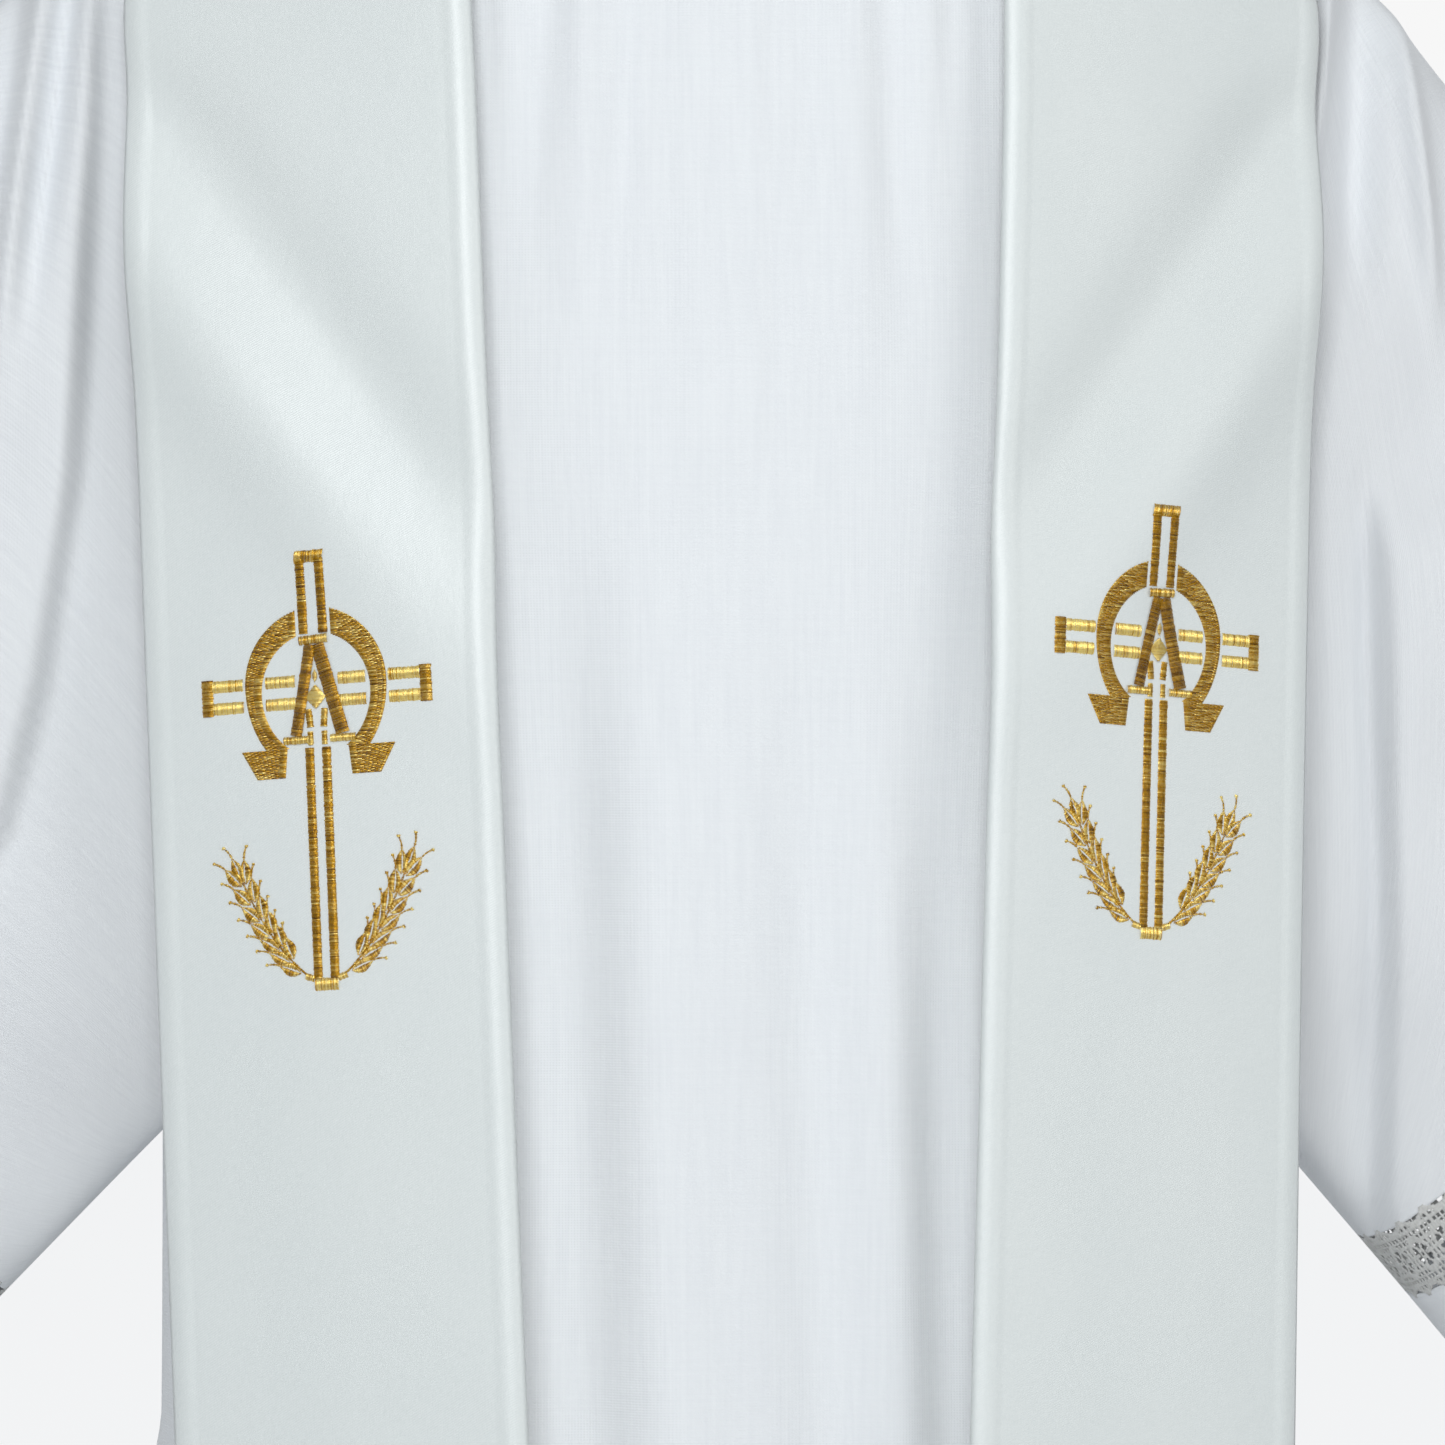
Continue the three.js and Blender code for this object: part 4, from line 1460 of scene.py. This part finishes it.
@dataclass
class Needle:
    """Works stitches into a flat bmesh: x across, y up, z out of the cloth."""

    bm: bmesh.types.BMesh
    random: np.random.Generator
    pitch: float = 0.00052
    radius: float = 0.00022
    shade: bmesh.types.BMLayerItem = field(init=False)

    def __post_init__(self) -> None:
        """Adds the attribute that gives each strand its tone, partly the thread's own and partly painted
        shade and highlight.
        """
        self.shade = self.bm.verts.layers.float.new("strand")

    def stitch(self, start: tuple[float, float], end: tuple[float, float], height: float = 0.0007,
               tone_and_light: float = 0.5, base: float = 0.0) -> None:
        """Lays one strand that rises from the cloth, crosses and sinks again.

        Args:
            start: where it comes up.
            end: where it goes down.
            height: how high its middle stands.
            tone_and_light: its shade from 0, deep, to 1, bright.
            base: height of what it lies on.
        """
        a, b = Vector((*start, 0)), Vector((*end, 0))
        length = (b - a).length
        if length < 1e-5:
            return
        along = (b - a) / length
        aside = Vector((-along.y, along.x, 0))
        made = bmesh.ops.create_grid(self.bm, x_segments=4, y_segments=2, size=0.5)
        own = float(np.clip(tone_and_light + self.random.normal(0, 0.17), 0, 1))
        lean = float(self.random.normal(0, 0.00006))
        for vert in made["verts"]:
            share, side = vert.co.x + 0.5, vert.co.y * 2
            arch = 1 - (2 * share - 1) ** 4
            place = a + along * (share * length) + aside * (side * self.radius)
            rise = (height + lean) * arch + self.radius * 0.9 * (1 - side * side)
            vert.co = Vector((place.x, place.y, base + rise))
            vert[self.shade] = own

    def satin(self, first: Callable[[float], tuple], second: Callable[[float], tuple], length: float,
              height: float = 0.0007, tone_and_light: Callable[[float], float] = lambda t: 0.5,
              base: float = 0.0) -> None:
        """Fills between two edges with strands laid side by side across them.

        Args:
            first: one edge, as a function of a share from 0 to 1.
            second: the other edge.
            length: length of the edges, which sets how many strands there are.
            height: how high the middle of a strand stands.
            tone_and_light: shade along the edges.
            base: height of what they lie on.
        """
        count = max(2, round(length / self.pitch))
        for index in range(count):
            share = (index + 0.5) / count
            jitter = float(self.random.normal(0, 0.00009))
            a, b = Vector(first(share)), Vector(second(share))
            way = (b - a).normalized() * jitter
            self.stitch(tuple(a - way), tuple(b + way), height, tone_and_light(share), base)

    def bar(self, start: tuple[float, float], end: tuple[float, float], width: float,
            tone_and_light: float = 0.5, height: float = 0.0007, slant: float = 0.0, base: float = 0.0) -> None:
        """Works a straight satin bar from start to end.

        Args:
            start: the middle of its first end.
            end: the middle of its last end.
            width: how wide it is.
            tone_and_light: its shade from 0, deep, to 1, bright.
            height: how high its middle stands.
            slant: how far the strands lean along it.
            base: height of what it lies on.
        """
        a, b = Vector(start), Vector(end)
        along = (b - a).normalized()
        aside = Vector((-along.y, along.x)) * width / 2
        lead = along * slant
        self.satin(lambda t: tuple(a.lerp(b, t) + aside + lead), lambda t: tuple(a.lerp(b, t) - aside - lead),
                   (b - a).length, height, lambda t: tone_and_light, base)

    def tatami(self, span: Callable[[float], tuple[float, float]], low: float, high: float) -> None:
        """Fills an area with rows of short staggered stitches.

        Args:
            span: where the area starts and ends at a height.
            low: height of its lower edge.
            high: height of its upper edge.
        """
        rows = round((high - low) / self.pitch)
        for row in range(rows):
            y = low + (high - low) * (row + 0.5) / rows
            start, end = span(y)
            count = max(1, round(abs(end - start) / 0.0034))
            cuts = [start + (end - start) * (k + (0.5 if row % 2 and 0 < k < count else 0)) / count
                    for k in range(count + 1)]
            cuts[-1] = end
            for a, b in zip(cuts, cuts[1:]):
                self.stitch((a, y), (b, y), 0.0005, 0.38 + 0.12 * (row % 3))

    def cord(self, path: Callable[[float], Vector], length: float, width: float = 0.0008,
             tone_and_light: float = 0.5, base: float = 0.0) -> None:
        """Works a thin cord of short stitches along a curve.

        Args:
            path: the curve, from 0 to 1.
            length: its length.
            width: how thick the cord is.
            tone_and_light: its shade from 0, deep, to 1, bright.
            base: height of what it lies on.
        """
        def edge(side: float) -> Callable[[float], tuple]:
            """One side of the cord.

            Args:
                side: 1 or -1.

            Returns:
                The side as a curve from 0 to 1.
            """
            def place(t: float) -> tuple:
                """A place on that side.

                Args:
                    t: share of the way along.

                Returns:
                    The place.
                """
                here, ahead = path(t), path(min(t + 0.02, 1.0))
                behind = path(max(t - 0.02, 0.0))
                way = (ahead - behind).normalized()
                return tuple(here + Vector((-way.y, way.x)) * side * width / 2)
            return place
        self.satin(edge(1), edge(-1), length, 0.00045, lambda t: tone_and_light, base)


@dataclass
class Emblem:
    """The needlework on a fall: hollow cross, omega, alpha and two ears of wheat."""

    shape: StoleForm
    bar_top: float = 0.091
    bar_half: float = 0.0065
    wall: float = 0.0042
    arm_high: float = 0.0378
    arm_low: float = 0.0286
    foot: float = -0.0905
    ring_centre: float = 0.0365
    ring_outer: float = 0.0314
    ring_inner: float = 0.0240
    ring_gap: float = 0.0078
    omega_foot: float = -0.0021
    omega_ankle: float = 0.0099
    ring_top: float = 0.0570
    arm_strips: tuple[tuple[float, float], ...] = (
        (-0.0460, -0.0322), (-0.0222, -0.0090), (0.0100, 0.0222), (0.0322, 0.0460))
    grain_length: float = 0.0104
    pieces: list[bpy.types.Object] = field(default_factory=list)

    def needle(self, seed: int) -> Needle:
        """A needle with an empty cloth and its own steady random numbers."""
        return Needle(bmesh.new(), np.random.default_rng(seed))

    def finished(self, needle: Needle, motif: str) -> None:
        """Sets a worked motif onto the fall and lets it ride there.

        Args:
            needle: the needle that worked it.
            motif: the motif's word in the frame's node names.
        """
        word = self.shape.hand.word
        made = piece_from(needle.bm, f"needlework_{motif}_{word}", Finish.GOLD)
        reshape(made, self.shape.on_face)
        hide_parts(f"embroidered_{motif}_{word}")
        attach(made, f"stole_{word}_fall")
        self.pieces.append(made)

    def build(self) -> None:
        """Works every motif."""
        seed = 10 if self.shape.hand is Hand.RIGHT else 20
        self.cross(seed)
        for index, side in enumerate((1, -1)):
            place = "outer" if side > 0 else "inner"
            self.omega_half(seed + 1 + index, side, place)
            self.ear(seed + 3 + index, side, place)
        self.alpha(seed + 5)

    def dress(self) -> None:
        """Logs every motif."""
        for made in self.pieces:
            report(made, "needlework")

    def cross(self, seed: int) -> None:
        """Works the hollow cross: a cap, two arms in strips, two long shafts and a knot at the foot.

        Args:
            seed: seed of its random numbers.
        """
        needle = self.needle(seed)
        half, wall = self.bar_half, self.wall
        slot = half - wall / 2
        top = self.bar_top
        # The tones given bar by bar are partly painted light: the bright arm strips, knot and spurs are
        # painted highlight, and the darker shafts are painted shade, with one shaft of each pair darker still
        # as painted shade on one side. The random spread of each strand is the thread's own.
        needle.bar((-slot, top - 0.0030), (-slot, self.ring_top), wall, 0.42)
        needle.bar((slot, top - 0.0030), (slot, self.ring_top), wall, 0.36)
        needle.bar((-half, top - 0.0022), (half, top - 0.0022), 0.0050, 0.55, slant=0.0004)
        for high in (self.arm_high, self.arm_low):
            for start, end in self.arm_strips:
                needle.bar((start, high), (end, high), 0.0050, 0.86)
        for side in (-1, 1):
            x = side * 0.0484
            needle.bar((x, self.arm_high + 0.0030), (x, self.arm_low - 0.0030), 0.0052, 0.50)
        for side in (-1, 1):
            x = side * 0.0037
            needle.bar((x, 0.0098), (x, self.foot + 0.0050), 0.0040, 0.40 if side < 0 else 0.46)
            needle.bar((side * 0.0031, 0.0165), (side * 0.0031, 0.0108), 0.0026, 0.66)
            needle.bar((side * 0.0036, 0.0258), (side * 0.0029, 0.0182), 0.0030, 0.55)
        needle.bar((-0.0052, self.foot + 0.0026), (0.0052, self.foot + 0.0026), 0.0052, 0.74)
        for side in (-1, 1):
            needle.bar((side * 0.0052, self.foot + 0.0050), (side * 0.0092, self.foot + 0.0062), 0.0028, 0.80)
        self.finished(needle, "cross")

    def omega_half(self, seed: int, side: int, place: str) -> None:
        """Works one half of the omega in rows of short stitches, with a pointed foot.

        Args:
            seed: seed of its random numbers.
            side: 1 for the outer side, -1 for the inner one.
            place: the side's word in the frame's node names.
        """
        needle = self.needle(seed)
        needle.tatami(lambda y: tuple(side * x for x in self.omega_span(y)), self.omega_foot,
                      self.ring_centre + self.ring_outer - 0.0009)
        self.finished(needle, "omega_half_" + place)

    def omega_span(self, y: float) -> tuple[float, float]:
        """How far out the omega's inner and outer edges lie at a height.

        Args:
            y: height above the middle of the emblem.

        Returns:
            The two distances from the upright.
        """
        share = (y - self.omega_foot) / (self.omega_ankle - self.omega_foot)
        if share < 1:
            return 0.0147 - 0.0013 * share, 0.0273 + 0.0067 * share
        above = y - self.ring_centre
        deep = self.ring_outer if above > 0 else 0.0390
        outer = self.ring_outer * math.sqrt(max(1 - (above / deep) ** 2, 0))
        above = y - self.ring_centre + 0.0035
        deep = 0.0245 if above > 0 else 0.0270
        inner = self.ring_inner * math.sqrt(max(1 - (above / deep) ** 2, 0))
        return max(inner, self.ring_gap), outer

    def alpha(self, seed: int) -> None:
        """Works the alpha over the cross: two legs, serifs and a diamond crossbar whose brightness is a
        painted highlight.

        Args:
            seed: seed of its random numbers.
        """
        needle = self.needle(seed)
        base = 0.0006
        # These tones are partly painted light: the dark legs are painted shade, and the bright serifs and
        # diamond are painted highlight.
        for side, width, foot in ((-1, 0.0050, 0.0092), (1, 0.0060, 0.0114)):
            needle.bar((side * 0.0016, 0.0525), (side * foot, 0.0150), width, 0.26, base=base)
            serif = ((side * foot - 0.0056, 0.0132), (side * foot + 0.0056, 0.0132))
            needle.bar(*serif, 0.0032, 0.78, base=base)
        needle.bar((-0.0064, 0.0542), (0.0064, 0.0548), 0.0036, 0.58, base=base)

        def diamond(side: float) -> Callable[[float], tuple]:
            """One side of the diamond, top to bottom."""
            return lambda t: (side * 0.0044 * (1 - abs(2 * t - 1)) ** 0.8, 0.0356 - 0.0098 * t)

        needle.satin(diamond(-1), diamond(1), 0.0098, 0.0008, lambda t: 0.92, base)
        needle.satin(lambda t: (-0.0012 * math.sin(math.pi * t), 0.0420 - 0.0054 * t),
                     lambda t: (0.0012 * math.sin(math.pi * t), 0.0420 - 0.0054 * t),
                     0.0054, 0.0005, lambda t: 0.85, base)
        self.finished(needle, "alpha")

    def ear(self, seed: int, side: int, place: str) -> None:
        """Works an ear of wheat: a stalk, two rows of grains and one at the tip, each with its awn.

        Args:
            seed: seed of its random numbers.
            side: 1 for the outer side, -1 for the inner one.
            place: the side's word in the frame's node names.
        """
        needle = self.needle(seed)
        start = Vector((side * 0.0085, -0.0838))
        bend = Vector((side * 0.0245, -0.0705))
        tip = Vector((side * 0.0362, -0.0430))

        def stalk(t: float) -> Vector:
            """A place on the stalk."""
            return start * (1 - t) ** 2 + bend * 2 * t * (1 - t) + tip * t ** 2

        needle.cord(stalk, 0.048, 0.0009, 0.45)
        for index in range(7):
            share = 0.06 + 0.90 * index / 6
            way = (stalk(min(share + 0.03, 1)) - stalk(share - 0.03)).normalized()
            aside = Vector((-way.y, way.x))
            for row in (-1, 1):
                if row * side > 0 and index == 0:
                    continue
                lean = 0.36
                heading = (way * math.cos(lean) + aside * row * math.sin(lean)).normalized()
                root = stalk(share) + aside * row * 0.0011
                self.grain(needle, root, heading, row, self.grain_length, 0.0056)
        way = (stalk(1) - stalk(0.94)).normalized()
        self.grain(needle, stalk(1), way, 1, self.grain_length, 0.0050)
        self.finished(needle, "wheat_ear_" + place)

    def grain(self, needle: Needle, root: Vector, heading: Vector, row: int, length: float,
              width: float) -> None:
        """Works one grain: half of it filled, half only outlined, and a curved awn with a dot.

        Args:
            needle: the needle to work with.
            root: where the grain joins the stalk.
            heading: the way it points.
            row: which side of the stalk it is on.
            length: its length.
            width: its width.
        """
        aside = Vector((-heading.y, heading.x))

        def rim(side: float) -> Callable[[float], Vector]:
            """One side of the almond.

            Args:
                side: 1 or -1, and 0 for the middle line.

            Returns:
                The side as a curve from 0 to 1.
            """
            def spot(t: float) -> Vector:
                """A place on it."""
                swell = math.sin(math.pi * min(max(t, 0.0), 1.0) ** 0.85)
                return root + heading * (t * length) + aside * (side * swell * width / 2)
            return spot

        full, open_side = rim(float(row)), rim(-float(row))
        middle = rim(0.0)
        needle.satin(lambda t: tuple(middle(t)), lambda t: tuple(full(t)), length, 0.0005,
                     lambda t: 0.55 + 0.2 * math.sin(9 * t))
        needle.satin(lambda t: tuple(middle(t) * 0.78 + open_side(t) * 0.22),
                     lambda t: tuple(open_side(t)), length, 0.0004, lambda t: 0.66)
        end = root + heading * length
        curl = heading + aside * row * 0.30

        def awn(t: float) -> Vector:
            """A place on the awn."""
            return end + (heading * (1 - t) + curl * t) * (t * 0.0052)

        needle.cord(awn, 0.0052, 0.0008, 0.55)
        dot = awn(1.0)
        needle.bar(tuple(dot - heading * 0.0004), tuple(dot + heading * 0.0006), 0.0015, 0.7, 0.0006)


# ---------------------------------------------------------------- floor, light and camera


@dataclass(frozen=True)
class Lamp:
    """A square soft light that faces the chest."""

    name: str
    place: tuple[float, float, float]
    size: float
    watts: float
    colour: tuple[float, float, float]


@dataclass
class Studio:
    """Pale floor, soft light and the camera in front of the garment."""

    view_width: float = 0.607
    distance: float = 2.6
    azimuth: float = -5.0
    target: tuple[float, float, float] = (-0.0045, -0.11, -0.4475)
    surround: float = 0.40
    floor_gap: float = 0.05
    floor_size: float = 60.0
    lamps: tuple[Lamp, ...] = (
        Lamp("front_light", (-0.5, -3.2, 0.7), 1.3, 50, (0.965, 0.99, 1.0)),
        Lamp("side_light", (2.0, -2.4, 0.3), 1.4, 9, (1.0, 0.975, 0.93)),
        Lamp("back_light", (0.6, 3.0, 1.2), 2.2, 30, (1.0, 1.0, 1.0)),
    )

    def build(self) -> None:
        """Makes the camera, the lights and the floor."""
        self.build_camera()
        self.build_lights()
        self.build_floor()

    def build_camera(self) -> None:
        """Points a long lens at the chest, a little to the left of straight on."""
        lens = bpy.data.cameras.new("camera")
        lens.sensor_width = 36
        lens.lens = lens.sensor_width * self.distance / self.view_width
        lens.clip_end = 400
        camera = bpy.data.objects.new("camera", lens)
        turn = math.radians(self.azimuth)
        back = Vector((math.sin(turn), -math.cos(turn), 0))
        camera.location = Vector(self.target) + back * self.distance
        camera.rotation_mode = "QUATERNION"
        camera.rotation_quaternion = (-back).to_track_quat("-Z", "Y")
        bpy.context.scene.collection.objects.link(camera)
        bpy.context.scene.camera = camera

    def hang(self, lamp: Lamp) -> None:
        """Hangs one lamp, turned to face the chest.

        Args:
            lamp: the lamp.
        """
        light = bpy.data.lights.new(lamp.name, "AREA")
        light.size = lamp.size
        light.energy = lamp.watts
        light.color = lamp.colour
        made = bpy.data.objects.new(lamp.name, light)
        made.location = lamp.place
        aim = Vector((0, 0, -0.55)) - Vector(lamp.place)
        made.rotation_mode = "QUATERNION"
        made.rotation_quaternion = aim.to_track_quat("-Z", "Y")
        made.visible_camera = False
        bpy.context.scene.collection.objects.link(made)

    def build_lights(self) -> None:
        """Hangs the lamps in a pale surround that is brighter to look at than to be lit by."""
        for lamp in self.lamps:
            self.hang(lamp)
        world = bpy.data.worlds.new("surround")
        world.use_nodes = True
        nodes, links = world.node_tree.nodes, world.node_tree.links
        lighting = nodes["Background"]
        lighting.inputs["Color"].default_value = (0.94, 0.97, 1.0, 1)
        lighting.inputs["Strength"].default_value = self.surround
        seen = nodes.new("ShaderNodeBackground")
        seen.inputs["Color"].default_value = (0.93, 0.93, 0.93, 1)
        chosen = nodes.new("ShaderNodeMixShader")
        ray = nodes.new("ShaderNodeLightPath")
        links.new(ray.outputs["Is Camera Ray"], chosen.inputs["Fac"])
        links.new(lighting.outputs["Background"], chosen.inputs[1])
        links.new(seen.outputs["Background"], chosen.inputs[2])
        links.new(chosen.outputs["Shader"], nodes["World Output"].inputs["Surface"])
        bpy.context.scene.world = world
        bpy.context.scene.view_settings.view_transform = "Standard"

    def build_floor(self) -> None:
        """Lays a plain pale floor just under the hem, its far part as pale as the surround."""
        bm = bmesh.new()
        bmesh.ops.create_grid(bm, x_segments=1, y_segments=1, size=self.floor_size)
        mesh = bpy.data.meshes.new("floor")
        bm.to_mesh(mesh)
        bm.free()
        kit = Shader("pale_floor")
        kit.shader.inputs["Base Color"].default_value = (0.80, 0.80, 0.80, 1)
        kit.shader.inputs["Roughness"].default_value = 0.9
        kit.shader.inputs["Emission Color"].default_value = (0.93, 0.93, 0.93, 1)
        place = kit.node("TexCoord")
        away = kit.node("VectorMath", operation="LENGTH")
        far = kit.node("MapRange", clamp=True)
        far.inputs["From Min"].default_value = 1.5
        far.inputs["From Max"].default_value = 5.0
        far.inputs["To Max"].default_value = 0.62
        ray = kit.node("LightPath")
        kit.link(place.outputs["Object"], away.inputs[0])
        kit.link(away.outputs["Value"], far.inputs["Value"])
        glow = kit.maths("MULTIPLY", far.outputs["Result"], ray.outputs["Is Camera Ray"])
        kit.link(glow, kit.shader.inputs["Emission Strength"])
        mesh.materials.append(kit.material)
        floor = bpy.data.objects.new("floor", mesh)
        floor.location.z = CAD_LOW.z - self.floor_gap
        bpy.context.scene.collection.objects.link(floor)


# ---------------------------------------------------------------- putting it together


def sleeves(form: BodyForm) -> list[Sleeve]:
    """The two sleeves with the folds each one hangs in.

    Args:
        form: the body's form.

    Returns:
        The right sleeve and the left one.
    """
    left = Sleeve(
        Hand.LEFT, form, 46,
        steps=(StepFold(((0.266, -0.10), (0.268, -0.20), (0.272, -0.27), (0.277, -0.345), (0.290, -0.43),
                         (0.306, -0.49), (0.330, -0.535), (0.39, -0.60), (0.48, -0.68)),
                        0.018, 0.006, -0.10, -0.70),),
        creases=(Crease((0.270, -0.06), (0.296, -0.27), 0.007, -0.020),
                 Crease((0.292, -0.08), (0.322, -0.30), 0.008, -0.018),
                 Crease((0.281, -0.06), (0.309, -0.30), 0.007, 0.014),
                 Crease((0.330, -0.36), (0.345, -0.62), 0.016, -0.006)),
        width=0.390,
    )
    right = Sleeve(
        Hand.RIGHT, form, 50,
        steps=(StepFold(((0.276, -0.30), (0.282, -0.375), (0.286, -0.48), (0.288, -0.56), (0.290, -0.655),
                         (0.304, -0.72)),
                        0.015, 0.005, -0.38, -0.74),),
        creases=(Crease((0.266, -0.12), (0.246, -0.27), 0.005, 0.014),
                 Crease((0.256, -0.12), (0.240, -0.22), 0.006, -0.006),
                 Crease((0.282, -0.10), (0.276, -0.26), 0.010, -0.020),
                 Crease((0.297, -0.10), (0.310, -0.27), 0.005, 0.014),
                 Crease((0.280, -0.36), (0.286, -0.66), 0.007, -0.006)),
        width=0.355,
    )
    return [right, left]


def main() -> None:
    """Builds and dresses the whole garment, then the studio."""
    logging.basicConfig(level=logging.INFO, format="%(message)s")
    Studio().build()
    form = BodyForm()
    shapes = [StoleForm(form, hand) for hand in Hand]
    parts = [AlbBody(form), *sleeves(form), *map(Stole, shapes), *map(Emblem, shapes)]
    for part in parts:
        part.build()
        part.dress()


if __name__ == "__main__":
    main()
